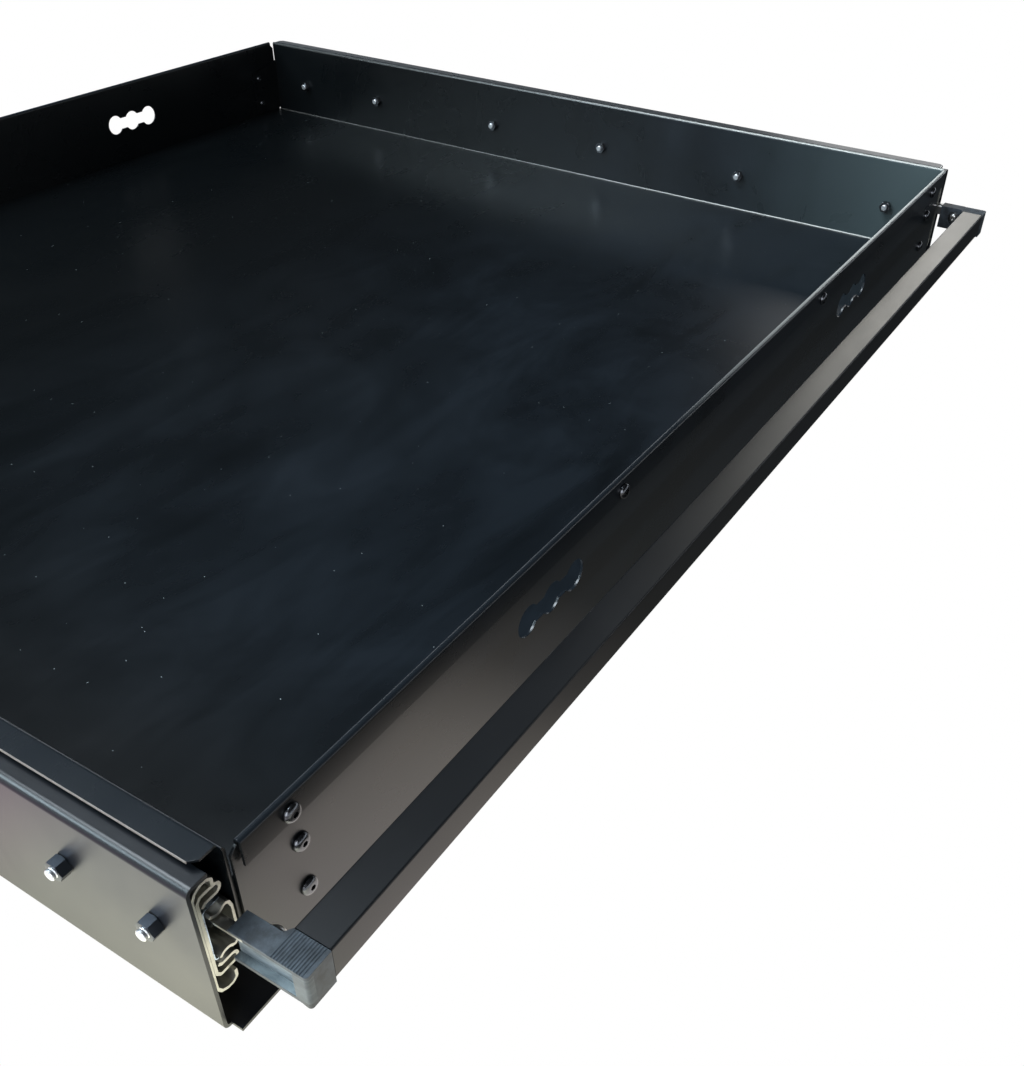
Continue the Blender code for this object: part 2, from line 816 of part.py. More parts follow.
def build_panel(name, body, flip):
    """An end wall of the tray with its top edge folded outwards."""
    half = tray_sheet / 2
    leaf = panel_inner_face - half
    fold_centre = leaf - panel_hem_radius
    fold_height = panel_top - half - panel_hem_radius
    line = [(leaf, tray_underside_height)]
    for step in range(9):
        turn = math.pi * step / 8
        line.append(
            (
                fold_centre + panel_hem_radius * math.cos(turn),
                fold_height + panel_hem_radius * math.sin(turn),
            )
        )
    line.append((fold_centre - panel_hem_radius, panel_hem_end))
    if flip:
        line = [(mirrored_depth(y), z) for y, z in line]
    mesh = strip_mesh(name, line, "X", -panel_half_width, panel_half_width)
    obj = place(name, mesh, body, tray_paint, pieces)
    give_thickness(obj, tray_sheet)
    corners = bmesh.new()
    holes = bmesh.new()
    ends = sorted(
        mirrored_depth(y) if flip else y
        for y in (fold_centre - panel_hem_radius - overrun, leaf + overrun)
    )
    leaf_ends = sorted(
        mirrored_depth(y) if flip else y
        for y in (fold_centre - panel_hem_radius - overrun, fold_centre)
    )
    for side in (-1, 1):
        corner = [
            (side * panel_hem_half_width, panel_top + overrun),
            (side * panel_hem_half_width, panel_corner_rise),
            (side * panel_half_width, panel_corner_drop),
            (side * (panel_half_width + overrun), panel_corner_drop),
            (side * (panel_half_width + overrun), panel_top + overrun),
        ]
        add_prism(corners, corner, "Y", *ends)
        outline = slot_outline(side * slot_offset)
        add_prism(holes, outline, "Y", *ends)
        across = back_end_screw_side if flip else front_end_screw_side
        for height in back_end_screw_heights if flip else front_end_screw_heights:
            centre = Vector((side * across, sum(ends) / 2, height))
            length = ends[1] - ends[0]
            add_hole(holes, "Y", centre, shank_radius + hole_clearance, length, round_sides)
    if not flip:
        for across in hem_screw_sides:
            centre = Vector((across, sum(ends) / 2, hem_screw_height))
            length = ends[1] - ends[0]
            add_hole(holes, "Y", centre, shank_radius + hole_clearance, length, round_sides)
    combine(obj, finish_mesh(name + "_corners", corners), "DIFFERENCE")
    combine(obj, finish_mesh(name + "_holes", holes), "DIFFERENCE")
    for side in (-1, 1):
        bm = bmesh.new()
        outer_edge = side * (panel_half_width + overrun)
        wide = sorted((side * panel_hem_half_width, outer_edge))
        add_box(
            bm,
            (wide[0], leaf_ends[0], panel_hem_end - overrun),
            (wide[1], leaf_ends[1], panel_top + overrun),
        )
        combine(obj, finish_mesh(name + "_" + side_names[side] + "_hem_end", bm), "DIFFERENCE")
    smooth(obj)


def build_bar(body):
    """The square pull tube."""
    bm = bmesh.new()
    bar_end = lever_wide_inner - rest_gap
    low = (-bar_end, bar_front, bar_top - bar_size)
    high = (bar_end, bar_front + bar_size, bar_top)
    add_box(bm, low, high)
    long_edges = [
        edge for edge in bm.edges if abs(edge.verts[0].co.x - edge.verts[1].co.x) > bar_end
    ]
    bmesh.ops.bevel(
        bm, geom=long_edges, offset=bar_corner, segments=2, profile=0.5, affect="EDGES"
    )
    obj = place("pull_bar", finish_mesh("pull_bar", bm), body, bar_paint, pieces)
    bm = bmesh.new()
    add_box(
        bm,
        (low[0] - overrun, low[1] + bar_wall, low[2] + bar_wall),
        (high[0] + overrun, high[1] - bar_wall, high[2] - bar_wall),
    )
    combine(obj, finish_mesh("pull_bar_bore", bm), "DIFFERENCE")
    smooth(obj)


def lever_profile():
    """The lever seen from its side: ribs along the top of its front half, a lip below."""
    points = [
        (lever_back, lever_top),
        (lever_back, lever_bottom),
        (lever_front + lever_lip_length, lever_bottom),
        (lever_front + lever_lip_length / 2, lever_lip_bottom),
        (lever_front, lever_lip_bottom),
        (lever_front, lever_top - lever_rib_rise),
    ]
    base = lever_top - lever_rib_rise
    for index in range(lever_rib_count):
        start = lever_rib_first + index * lever_rib_pitch
        points.append((start, base))
        points.append((start + lever_rib_width / 4, lever_top))
        points.append((start + lever_rib_width * 3 / 4, lever_top))
        points.append((start + lever_rib_width, base))
    points.append((lever_taper_front, base))
    points.append((lever_taper_back, lever_top))
    return points


def build_lever(side, body):
    """A moulded lever, open on its outer side, with a peg that enters the pull tube."""
    name = side_names[side] + "_release_lever"
    bm = bmesh.new()
    ends = sorted((side * lever_wide_inner, side * lever_outer))
    add_prism(bm, lever_profile(), "X", *ends)
    obj = place(name, finish_mesh(name, bm), body, lever_plastic, pieces)

    bm = bmesh.new()
    slim = [
        (side * (lever_wide_inner - overrun), lever_back + overrun),
        (side * lever_slim_inner, lever_back + overrun),
        (side * lever_slim_inner, lever_taper_back),
        (side * lever_wide_inner, lever_taper_front),
        (side * (lever_wide_inner - overrun), lever_taper_front),
    ]
    add_prism(bm, slim, "Z", lever_lip_bottom - overrun, lever_top + overrun)
    combine(obj, finish_mesh(name + "_plan", bm), "DIFFERENCE")

    bm = bmesh.new()
    low = lever_bottom + lever_wall
    high = lever_top - lever_rib_rise - lever_wall
    recess = [
        (side * (lever_outer - lever_recess_depth), lever_back + overrun),
        (side * (lever_outer + overrun), lever_back + overrun),
        (side * (lever_outer + overrun), lever_front + lever_block),
        (side * (lever_outer - lever_recess_depth), lever_front + lever_block),
    ]
    add_prism(bm, recess, "Z", low, high)
    combine(obj, finish_mesh(name + "_recess", bm), "DIFFERENCE")

    bm = bmesh.new()
    across = sorted((side * (strap_leg_inner - rest_gap), side * (lever_outer + overrun)))
    add_box(
        bm,
        (across[0], lever_back - strap_plate_lap - rest_gap, high - join_depth),
        (across[1], lever_back + overrun, strap_top + rest_gap),
    )
    combine(obj, finish_mesh(name + "_plate_pocket", bm), "DIFFERENCE")

    bm = bmesh.new()
    across = sorted((side * (strap_leg_inner - rest_gap), side * (strap_leg_outer + rest_gap)))
    add_box(
        bm,
        (across[0], strap_front - rest_gap, slide_middle_height - strap_low_rise - rest_gap),
        (across[1], lever_back + overrun, high),
    )
    combine(obj, finish_mesh(name + "_leg_slot", bm), "DIFFERENCE")

    bm = bmesh.new()
    peg = bar_wall + rest_gap
    across = sorted(
        (side * (lever_wide_inner - lever_spigot_depth), side * (lever_wide_inner + join_depth))
    )
    add_box(
        bm,
        (across[0], bar_front + peg, bar_top - bar_size + peg),
        (across[1], bar_front + bar_size - peg, bar_top - peg - lever_rib_rise),
    )
    combine(obj, finish_mesh(name + "_peg", bm), "UNION")

    bm = bmesh.new()
    centre = Vector((side * lever_slim_inner, lever_screw_depth, lever_screw_height))
    length = 2 * (strap_leg_outer - lever_slim_inner)
    add_hole(bm, "X", centre, shank_radius + hole_clearance, length, round_sides)
    combine(obj, finish_mesh(name + "_hole", bm), "DIFFERENCE")


def build_strap(side, body):
    """The steel angle from the lever into the slide, with the latch tooth at its end."""
    name = side_names[side] + "_latch_strap"
    half = strap_sheet / 2
    low = slide_middle_height - strap_low_rise
    path = [
        (side * (strap_leg_inner + half), low),
        (side * (strap_leg_inner + half), strap_top - half),
        (side * lever_outer, strap_top - half),
    ]
    line = rounded(path, [strap_bend], 3)
    mesh = strip_mesh(name, line, "Y", strap_front, strap_back)
    obj = place(name, mesh, body, strap_steel, pieces)
    give_thickness(obj, strap_sheet)
    ends = sorted((side * (strap_leg_inner - overrun), side * (lever_outer + overrun)))

    bm = bmesh.new()
    leg_top = lever_top - lever_rib_rise - lever_wall - rest_gap
    add_box(
        bm,
        (ends[0], strap_front - overrun, leg_top),
        (ends[1], lever_back - strap_plate_lap, strap_top + overrun),
    )
    combine(obj, finish_mesh(name + "_front_cut", bm), "DIFFERENCE")

    bm = bmesh.new()
    neck_front = lever_back - strap_neck_slope
    neck_back = neck_front + strap_neck_length
    neck_height = slide_middle_height + strap_neck_rise
    neck = [
        (neck_front, low - overrun),
        (neck_back + strap_neck_slope, low - overrun),
        (neck_back + strap_neck_slope, low),
        (neck_back, neck_height),
        (neck_front + strap_neck_slope, neck_height),
        (neck_front, low),
    ]
    add_prism(bm, neck, "X", *ends)
    combine(obj, finish_mesh(name + "_neck_cut", bm), "DIFFERENCE")

    bm = bmesh.new()
    tooth_top = slide_middle_height + strap_tooth_rise
    tooth_front = strap_back - strap_tooth_length
    gap_front = tooth_front - strap_tooth_gap
    back_cut = [
        (gap_front, strap_top + overrun),
        (gap_front, tooth_top - strap_tooth_depth),
        (tooth_front, tooth_top - strap_tooth_depth),
        (tooth_front, tooth_top),
        (strap_back - strap_tooth_length / 2, tooth_top),
        (strap_back, tooth_top - strap_tooth_depth),
        (strap_back + overrun, tooth_top - strap_tooth_depth),
        (strap_back + overrun, strap_top + overrun),
    ]
    add_prism(bm, back_cut, "X", *ends)
    combine(obj, finish_mesh(name + "_tooth_cut", bm), "DIFFERENCE")

    bm = bmesh.new()
    length = strap_sheet + 2 * overrun
    for depth, height in (
        (release_pivot, slide_middle_height),
        (lever_screw_depth, lever_screw_height),
    ):
        centre = Vector((side * (strap_leg_inner + half), depth, height))
        add_hole(bm, "X", centre, shank_radius + hole_clearance, length, round_sides)
    combine(obj, finish_mesh(name + "_holes", bm), "DIFFERENCE")
    smooth(obj)


def build_fasteners(frame, drawer, release):
    """All the screws, bolts and pivot pins."""
    web_face = inner_web_depth - rail_sheet / 2
    seat = bracket_inner_face - web_face + rest_gap
    nut_start = tray_half_width - rest_gap
    nut_end = nut_start - nut_rise
    side_bolt = bolt_mesh(
        "side_bolt",
        button_head(-rest_gap, head_radius, head_rise),
        seat - nut_start,
        seat - nut_end,
        seat - nut_end + shank_proud,
    )
    side_bolt.materials.append(screw_black)
    sunk_top = rest_gap + rail_sheet - sunk_head_step
    sunk_low = sunk_head_radius - sunk_top
    sunk_head = [(-sunk_top, 0.0), (-sunk_top, sunk_head_radius), (0.0, sunk_low)]
    nut_seat = bracket_sheet + rest_gap
    bracket_bolt = bolt_mesh(
        "bracket_bolt",
        sunk_head,
        nut_seat,
        nut_seat + bracket_nut_rise,
        nut_seat + bracket_nut_rise + bracket_shank_proud,
    )
    bracket_bolt.materials.append(nut_zinc)
    end_screw = screw_mesh(
        "end_screw",
        button_head(-rest_gap, panel_head_radius, panel_head_rise),
        2 * tray_sheet + rest_gap + screw_end_proud,
    )
    end_screw.materials.append(screw_black)
    hem_depth = 2 * panel_hem_radius + tray_sheet
    hem_screw = screw_mesh(
        "hem_screw",
        button_head(-rest_gap, panel_head_radius, panel_head_rise),
        hem_depth + screw_end_proud,
    )
    hem_screw.materials.append(screw_black)
    lever_screw = screw_mesh(
        "lever_screw",
        button_head(-rest_gap, lever_head_radius, lever_head_rise),
        strap_leg_outer - lever_slim_inner,
    )
    lever_screw.materials.append(strap_steel)
    pin_head_seat = strap_leg_outer + rest_gap
    pin_profile = [
        (-pin_head_rise, 0.0),
        (-pin_head_rise, head_radius),
        (0.0, head_radius),
        (0.0, shank_radius),
        (strap_sheet + 2 * rest_gap, shank_radius),
        (strap_sheet + 2 * rest_gap, pin_collar_radius),
        (pin_head_seat - seat, pin_collar_radius),
        (pin_head_seat - seat, shank_radius),
        (pin_head_seat - tray_side_face - rest_gap, shank_radius),
        (pin_head_seat - tray_side_face - rest_gap, 0.0),
    ]
    bm = bmesh.new()
    spun(bm, pin_profile, round_sides)
    pin = finish_mesh("pivot_pin", bm)
    pin.materials.append(strap_steel)

    for side in (-1, 1):
        word = side_names[side]
        inward = 0.0 if side < 0 else math.pi
        outward = math.pi - inward
        for index, along in enumerate(bracket_bolt_places, 1):
            point = (side * bracket_inner_face, along, bracket_bolt_height)
            set_fastener(f"{word}_bracket_bolt_{index}", bracket_bolt, frame, point, outward)
        for index, along in enumerate(tray_bolt_places, 1):
            point = (side * (seat - rest_gap), along, slide_middle_height)
            set_fastener(f"{word}_tray_bolt_{index}", side_bolt, drawer, point, inward)
        for index, height in enumerate(front_end_screw_heights, 1):
            point = (side * front_end_screw_side, panel_front_face, height)
            set_fastener(
                f"{word}_front_end_screw_{index}", end_screw, drawer, point, math.pi / 2
            )
        for index, height in enumerate(back_end_screw_heights, 1):
            point = (side * back_end_screw_side, panel_back_face, height)
            set_fastener(
                f"{word}_back_end_screw_{index}", end_screw, drawer, point, -math.pi / 2
            )
        point = (side * lever_slim_inner, lever_screw_depth, lever_screw_height)
        set_fastener(f"{word}_lever_screw", lever_screw, release, point, outward)
        point = (side * pin_head_seat, release_pivot, slide_middle_height)
        set_fastener(f"{word}_pivot_pin", pin, drawer, point, inward)
    for index, across in enumerate(hem_screw_sides, 1):
        point = (across, panel_front_face + tray_sheet - hem_depth, hem_screw_height)
        set_fastener(f"hem_screw_{index}", hem_screw, drawer, point, math.pi / 2)


def build():
    """The whole object."""
    frame = make_body("frame_body", 0.0, 0.0)
    drawer = make_body("drawer_body", 0.0, slide_middle_height)
    release = make_body("release_body", release_pivot, slide_middle_height)
    for side in (-1, 1):
        word = side_names[side]
        middle = make_body(word + "_middle_body", 0.0, slide_middle_height)
        outer_cage = make_body(word + "_outer_cage_body", 0.0, slide_middle_height)
        inner_cage = make_body(word + "_inner_cage_body", 0.0, slide_middle_height)
        build_bracket(side, frame)
        build_outer_rail(side, frame)
        build_middle_rail(side, middle)
        build_inner_rail(side, drawer)
        build_outer_cage(side, outer_cage)
        build_inner_cage(side, inner_cage)
        build_lever(side, release)
        build_strap(side, release)
    build_tray(drawer)
    build_panel("front_panel", drawer, False)
    build_panel("back_panel", drawer, True)
    build_bar(release)
    build_fasteners(frame, drawer, release)


build()
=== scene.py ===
"""A low cargo drawer for a van floor: a dark folded tray on two ball slides between two
floor brackets, with a pull bar on two levers. Metres, Z up, front towards -Y."""

import math

import bmesh
import bpy
from mathutils import Matrix, Vector


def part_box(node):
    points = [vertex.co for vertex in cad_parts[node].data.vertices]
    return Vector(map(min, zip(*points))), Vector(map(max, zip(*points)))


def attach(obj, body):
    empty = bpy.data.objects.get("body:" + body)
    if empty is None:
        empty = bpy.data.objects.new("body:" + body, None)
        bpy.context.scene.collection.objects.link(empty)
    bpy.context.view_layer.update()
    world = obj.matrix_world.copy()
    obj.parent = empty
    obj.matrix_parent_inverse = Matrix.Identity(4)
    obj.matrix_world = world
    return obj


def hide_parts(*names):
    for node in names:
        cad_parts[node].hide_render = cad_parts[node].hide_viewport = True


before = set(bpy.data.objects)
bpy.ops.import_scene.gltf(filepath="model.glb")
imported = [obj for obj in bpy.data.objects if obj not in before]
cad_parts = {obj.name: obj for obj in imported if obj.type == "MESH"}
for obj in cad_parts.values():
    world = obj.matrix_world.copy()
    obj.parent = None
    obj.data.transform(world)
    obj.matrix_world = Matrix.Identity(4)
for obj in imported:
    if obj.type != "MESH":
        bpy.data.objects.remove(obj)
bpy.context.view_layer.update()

# Camera of the photograph, measured from the bracket's front edge
camera_heading = math.radians(58.999)
camera_pitch = math.radians(38.797)
camera_roll = math.radians(-1.272)
camera_place = (-0.677142, -0.252905, 0.464355)
camera_focal_pixels = 1112.949
picture_width = 1024
picture_height = 1066
picture_centre_x = 544.471
picture_centre_y = 594.531
sensor_size = 36.0
camera_near = 0.01

# Overall sizes
bracket_half_width = 0.5232
bracket_height = 0.1000
bracket_length = 0.9000
bracket_sheet = 0.0020
bracket_bend = 0.0030
bracket_top_flange = 0.0119
bracket_floor_flange = 0.0300
bracket_foot_lead = 0.0065
bracket_relief_width = 0.0042
bracket_relief_height = 0.0035
rest_gap = 0.0003
hole_clearance = 0.00035
overrun = 0.0030
join_depth = 0.0006

# Ball slide, as depth from the bracket and height from the slide's middle
slide_middle_height = 0.0585
slide_front = 0.0015
slide_length = 0.8900
rail_sheet = 0.0017
rail_bend = 0.0016
outer_web_half = 0.0306
outer_shoulder_depth = 0.0032
outer_shoulder_rise = 0.0342
outer_top_depth = 0.0066
outer_top_rise = 0.03595
outer_crown_end = 0.0098
outer_lip_depth = 0.0122
outer_lip_rise = 0.0342
outer_lip_end = 0.0295
middle_web_depth = 0.0041
middle_web_half = 0.02435
middle_leg_start = 0.0062
middle_leg_rise = 0.0270
middle_fold_depth = 0.0138
middle_low_leg_rise = 0.0214
middle_low_leg_end = 0.0078
middle_lip_depth = 0.0060
middle_lip_rise = 0.0198
inner_web_half = 0.0092
inner_shoulder_step = 0.00115
inner_shoulder_rise = 0.0130
inner_crest_step = 0.00275
inner_crest_rise = 0.0141
inner_race_degrees = (-40.0, -147.0)
middle_front_lag = 0.0020
middle_back_lead = 0.0060
outer_ball_radius = 0.0031
outer_ball_depth = 0.0080
outer_ball_rise = 0.0316
outer_cage_sheet = 0.0005
outer_cage_web_depth = 0.002625
outer_cage_web_half = 0.0290
outer_cage_arm_start = 0.0046
outer_cage_arm_end = 0.0108
inner_ball_radius = 0.0035
inner_ball_depth = 0.0108
inner_ball_rise = 0.0168
inner_cage_sheet = 0.0006
inner_cage_web_depth = 0.0056
inner_cage_arm_end = 0.0153
outer_cage_front = 0.2240
outer_cage_length = 0.4400
inner_cage_front = 0.0040
inner_cage_length = 0.6600
cage_end_margin = 0.0045
ball_pitch = 0.0217

# Tray
tray_half_width = 0.5000
tray_sheet = 0.0015
tray_bend = 0.0022
tray_underside_height = 0.0205
tray_flange_top = 0.10545
tray_flange_edge = 0.5143
tray_inside_back = 0.89325
flange_setback = 0.0031
flange_corner_cut = 0.0038
flange_notch_gap = 0.0005
end_tab_width = 0.0445
end_tab_wall_height = 0.0837
end_tab_edge_height = 0.0744
end_tab_floor_gap = 0.0006

# End panels
panel_half_width = 0.4995
panel_inner_face = 0.0001
panel_top = 0.10575
panel_hem_radius = 0.00145
panel_hem_end = 0.0900
panel_corner_drop = 0.0983
panel_corner_rise = 0.1019
panel_hem_half_width = 0.4957
slot_offset = 0.25025
slot_height = 0.0640
slot_lobe_radius = 0.0103
slot_lobe_pitch = 0.0250
slot_neck_half = 0.0060

# Pull bar and its levers
bar_size = 0.0200
bar_wall = 0.0015
bar_corner = 0.0012
bar_front = -0.0485
bar_top = 0.0695
lever_front = -0.0487
lever_back = -0.0064
lever_top = 0.0695
lever_bottom = 0.0480
lever_lip_bottom = 0.0472
lever_lip_length = 0.0050
lever_wide_inner = 0.4978
lever_outer = 0.5134
lever_slim_inner = 0.5016
lever_corner = 0.0018
lever_taper_front = -0.0285
lever_taper_back = -0.0262
lever_wall = 0.0024
lever_block = 0.0080
lever_recess_depth = 0.0038
lever_rib_first = -0.0466
lever_rib_pitch = 0.0015
lever_rib_width = 0.0008
lever_rib_rise = 0.0003
lever_rib_count = 12
lever_spigot_depth = 0.0120
strap_front = -0.0400
strap_low_rise = 0.0075
strap_leg_outer = 0.50875
strap_leg_inner = 0.50725
strap_top = 0.0683
strap_plate_lap = 0.0080
lever_screw_depth = -0.0205
lever_screw_height = 0.0605

# Fasteners
shank_radius = 0.0030
head_radius = 0.00525
head_rise = 0.0030
socket_flat_radius = 0.0017
socket_depth = 0.0018
nut_radius = 0.00577
nut_rise = 0.0052
shank_proud = 0.0020
panel_head_radius = 0.0050
panel_head_rise = 0.0027
lever_head_radius = 0.0054
lever_head_rise = 0.0042
bracket_nut_rise = 0.0060
bracket_shank_proud = 0.0025
sunk_head_radius = 0.0056
sunk_head_step = 0.0001
screw_end_proud = 0.0024
floor_hole_radius = 0.0035
thread_pitch = 0.0010
thread_depth = 0.0003
round_sides = 32
bracket_bolt_height = 0.0620
bracket_bolt_places = (0.0262, 0.0827, 0.3000, 0.5500, 0.8000)
tray_bolt_places = (0.0490, 0.2165, 0.3900, 0.5415, 0.7210, 0.8400)
floor_hole_places = (0.0600, 0.3200, 0.5800, 0.8400)
floor_hole_inset = 0.0120
front_end_screw_side = 0.4630
front_end_screw_heights = (0.0700, 0.0388)
back_end_screw_side = 0.4657
back_end_screw_heights = (0.0673, 0.0369)
hem_screw_height = 0.0960
hem_screw_sides = (-0.4676, -0.1744, 0.1569, 0.4541)

# Sizes that follow from the ones above
bracket_inner_face = bracket_half_width - bracket_sheet
inner_web_depth = bracket_inner_face - tray_half_width - tray_sheet - rest_gap - rail_sheet / 2
panel_front_face = panel_inner_face - tray_sheet
panel_back_face = tray_inside_back + tray_sheet
hem_depth = 2 * panel_hem_radius + tray_sheet
front_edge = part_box("left_floor_bracket")[0].y + bracket_foot_lead
side_names = {-1: "left", 1: "right"}
bend_steps = 6
sheet_edge = 0.00025
smooth_angle = math.radians(40.0)
soften_angle = math.radians(50.0)
edge_segments = 2
lever_edge = lever_rib_width / 5
mitre_limit = 0.5
weld_distance = rest_gap / 30
ball_sides = 20
ball_rings = 12

# A domed head's start from its axis and how much of its rise is the dome
dome_start = math.radians(35.0)
dome_sweep = math.radians(55.0)
dome_share = 0.85

# A nut's turned corners, as shares of its radius
nut_face_share = 0.88
nut_corner_share = 0.06

# Where painted highlights lie on the tray's bends and along its front hem
crest_middle = 0.0010
crest_half = 0.0008
crease_reach = 0.0010
hem_glint_drop = 0.0004

# Sizes of the surfaces' patterns in millimetres, and heights of their bumps in metres
haze_cloud_mm = 200.0
wipe_sizes_mm = (189.4, 59.52, 104.2)
wipe_turn = (0.0, 0.0, 0.9)
pebble_mm = 1.111
rail_spangle_mm = 3.846
cage_spangle_mm = 2.0
bloom_cloud_mm = 8.333
scuff_sizes_mm = (11.11, 14.29, 3.333)
pebble_height = 0.0002
spangle_height = 0.0002
grain_height = 0.0001

# The real grain of plating and of moulded plastic is far finer than a millimetre, and so are most
# specks of dust: too fine to show in the render, so these are drawn as coarse as they need to be
plate_grain_mm = 0.7143
mould_grain_mm = 0.4545
speck_radius_mm = 0.342
speck_spacing_mm = 26.32
speck_share = 0.28

# How far haze, painted light and shade and painted highlights reach, in shares of the tray's length or
# half width
haze_end_share = 0.80
haze_strengths = (1.90, -0.10)
painted_wall_shade_places = (-0.94, -0.62)
painted_wall_shade_share = 0.10
wall_light_end_share = 0.30
wall_light_thinning = 1.8
glint_end_share = 0.55
glint_strengths = (1.0, 0.10)
hem_glint_shares = (-0.2, 0.6)
recess_light_on_block = 0.30

# A place beyond every piece, for a region that is open on one side
far_off = 2.0

# Floor and room: a place along an axis, a share of brightness and a tint
floor_drop = -0.0005
floor_half_size = 30.0
floor_bright = 2.4
floor_tones = (
    (-1.10, 0.34, "#ece0ea"),
    (-0.66, 0.52, "#f2ecf0"),
    (-0.58, 0.80, "#fafcf8"),
    (-0.54, 1.02, "#fffee8"),
    (-0.53, 0.84, "#fffee8"),
    (-0.51, 0.70, "#fffeea"),
    (-0.45, 0.58, "#fff6f0"),
    (-0.33, 0.40, "#fdf4ea"),
    (-0.25, 0.13, "#fcf6ee"),
    (-0.17, 0.05, "#fafaf2"),
    (-0.08, 0.04, "#f4faf8"),
    (0.10, 0.03, "#eef6fa"),
    (0.40, 0.02, "#e8f4fa"),
)
floor_depth_tones = (
    (-1.60, 0.30, "#ffffff"),
    (-0.63, 0.44, "#ffffff"),
    (-0.52, 0.74, "#ffffff"),
    (-0.47, 1.00, "#ffffff"),
    (-0.40, 1.00, "#ffffff"),
    (-0.29, 0.80, "#fcfdff"),
    (-0.20, 0.63, "#f8def4"),
    (-0.05, 0.58, "#f6dcf0"),
    (0.20, 0.58, "#f6f0f4"),
    (0.60, 0.60, "#f8f6f6"),
)
room_bright = 2.2
room_tones = (
    (-0.30, 0.05, "#dfe9f2"),
    (-0.10, 0.90, "#eef4fa"),
    (0.10, 1.00, "#eef4fa"),
    (0.18, 0.03, "#dfe9f2"),
    (0.40, 0.01, "#dfe9f2"),
    (0.70, 0.01, "#dfe9f2"),
    (1.00, 0.04, "#dfe9f2"),
)

# Lamps: place, the point faced, size, watts and tint
lamps = {
    "left_window": ((-3.2, -1.2, 1.3), (0.0, -0.2, 0.05), (2.0, 1.6), 45.0, "#f4f8ff"),
    "overhead": ((-0.85, 0.8, 2.7), (0.0, 0.0, 0.05), (1.8, 1.0), 100.0, "#eaf6ff"),
    "back_window": ((-2.1, 1.7, 1.75), (-0.5, -0.3, 0.1), (1.3, 0.8), 60.0, "#dcf2fc"),
    "right_glow": ((3.6, 0.4, 1.1), (0.4, 0.0, 0.08), (0.8, 0.8), 4.0, "#ffffff"),
    "bar_glow": ((3.57, 0.25, 1.50), (0.3, -0.46, 0.07), (0.9, 0.9), 15.0, "#fffcf2"),
}


def paint(code):
    """A linear colour from a hex code as a picture shows it."""
    values = []
    for index in (1, 3, 5):
        share = int(code[index : index + 2], 16) / 255
        values.append(share / 12.92 if share <= 0.04045 else ((share + 0.055) / 1.055) ** 2.4)
    return (*values, 1.0)


def scale_of(millimetres):
    """The scale that draws a pattern at this size, because a pattern's own unit is one metre."""
    return 1000.0 / millimetres


def feed(tree, node, inputs):
    """Gives a node's inputs their values, or links them to what other nodes give."""
    for key, value in inputs.items():
        if isinstance(value, bpy.types.NodeSocket):
            tree.links.new(value, node.inputs[key])
        else:
            node.inputs[key].default_value = value


def add_node(tree, kind, inputs=None, **settings):
    """A shader node with its settings, its values and what feeds it."""
    node = tree.nodes.new(kind)
    for name, value in settings.items():
        setattr(node, name, value)
    feed(tree, node, inputs or {})
    return node


def overlap(tree, *shares):
    """The product of several shares, which is full only where all of them are."""
    product = shares[0]
    for share in shares[1:]:
        both = add_node(tree, "ShaderNodeMath", {0: product, 1: share}, operation="MULTIPLY")
        product = both.outputs["Value"]
    return product


def region(tree, where, **limits):
    """Full between the limits on each named axis, and nothing outside them."""
    place = add_node(tree, "ShaderNodeSeparateXYZ", {"Vector": where})
    shares = []
    for axis, (low, high) in limits.items():
        inside = add_node(
            tree,
            "ShaderNodeMath",
            {0: place.outputs[axis], 1: (low + high) / 2, 2: (high - low) / 2},
            operation="COMPARE",
        )
        shares.append(inside.outputs["Value"])
    return overlap(tree, *shares)


def slope(tree, where, axis, places, shares=(0.0, 1.0), **settings):
    """A share that runs from one value to another between two places along an axis."""
    place = add_node(tree, "ShaderNodeSeparateXYZ", {"Vector": where})
    ends = {"From Min": places[0], "From Max": places[1], "To Min": shares[0], "To Max": shares[1]}
    inputs = {"Value": place.outputs[axis], **ends}
    return add_node(tree, "ShaderNodeMapRange", inputs, **settings).outputs["Result"]


def new_material(name):
    """An empty surface: its node tree, its main shader and the places on the piece."""
    material = bpy.data.materials.new(name)
    material.use_nodes = True
    tree = material.node_tree
    where = add_node(tree, "ShaderNodeTexCoord").outputs["Object"]
    return material, tree, tree.nodes["Principled BSDF"], where


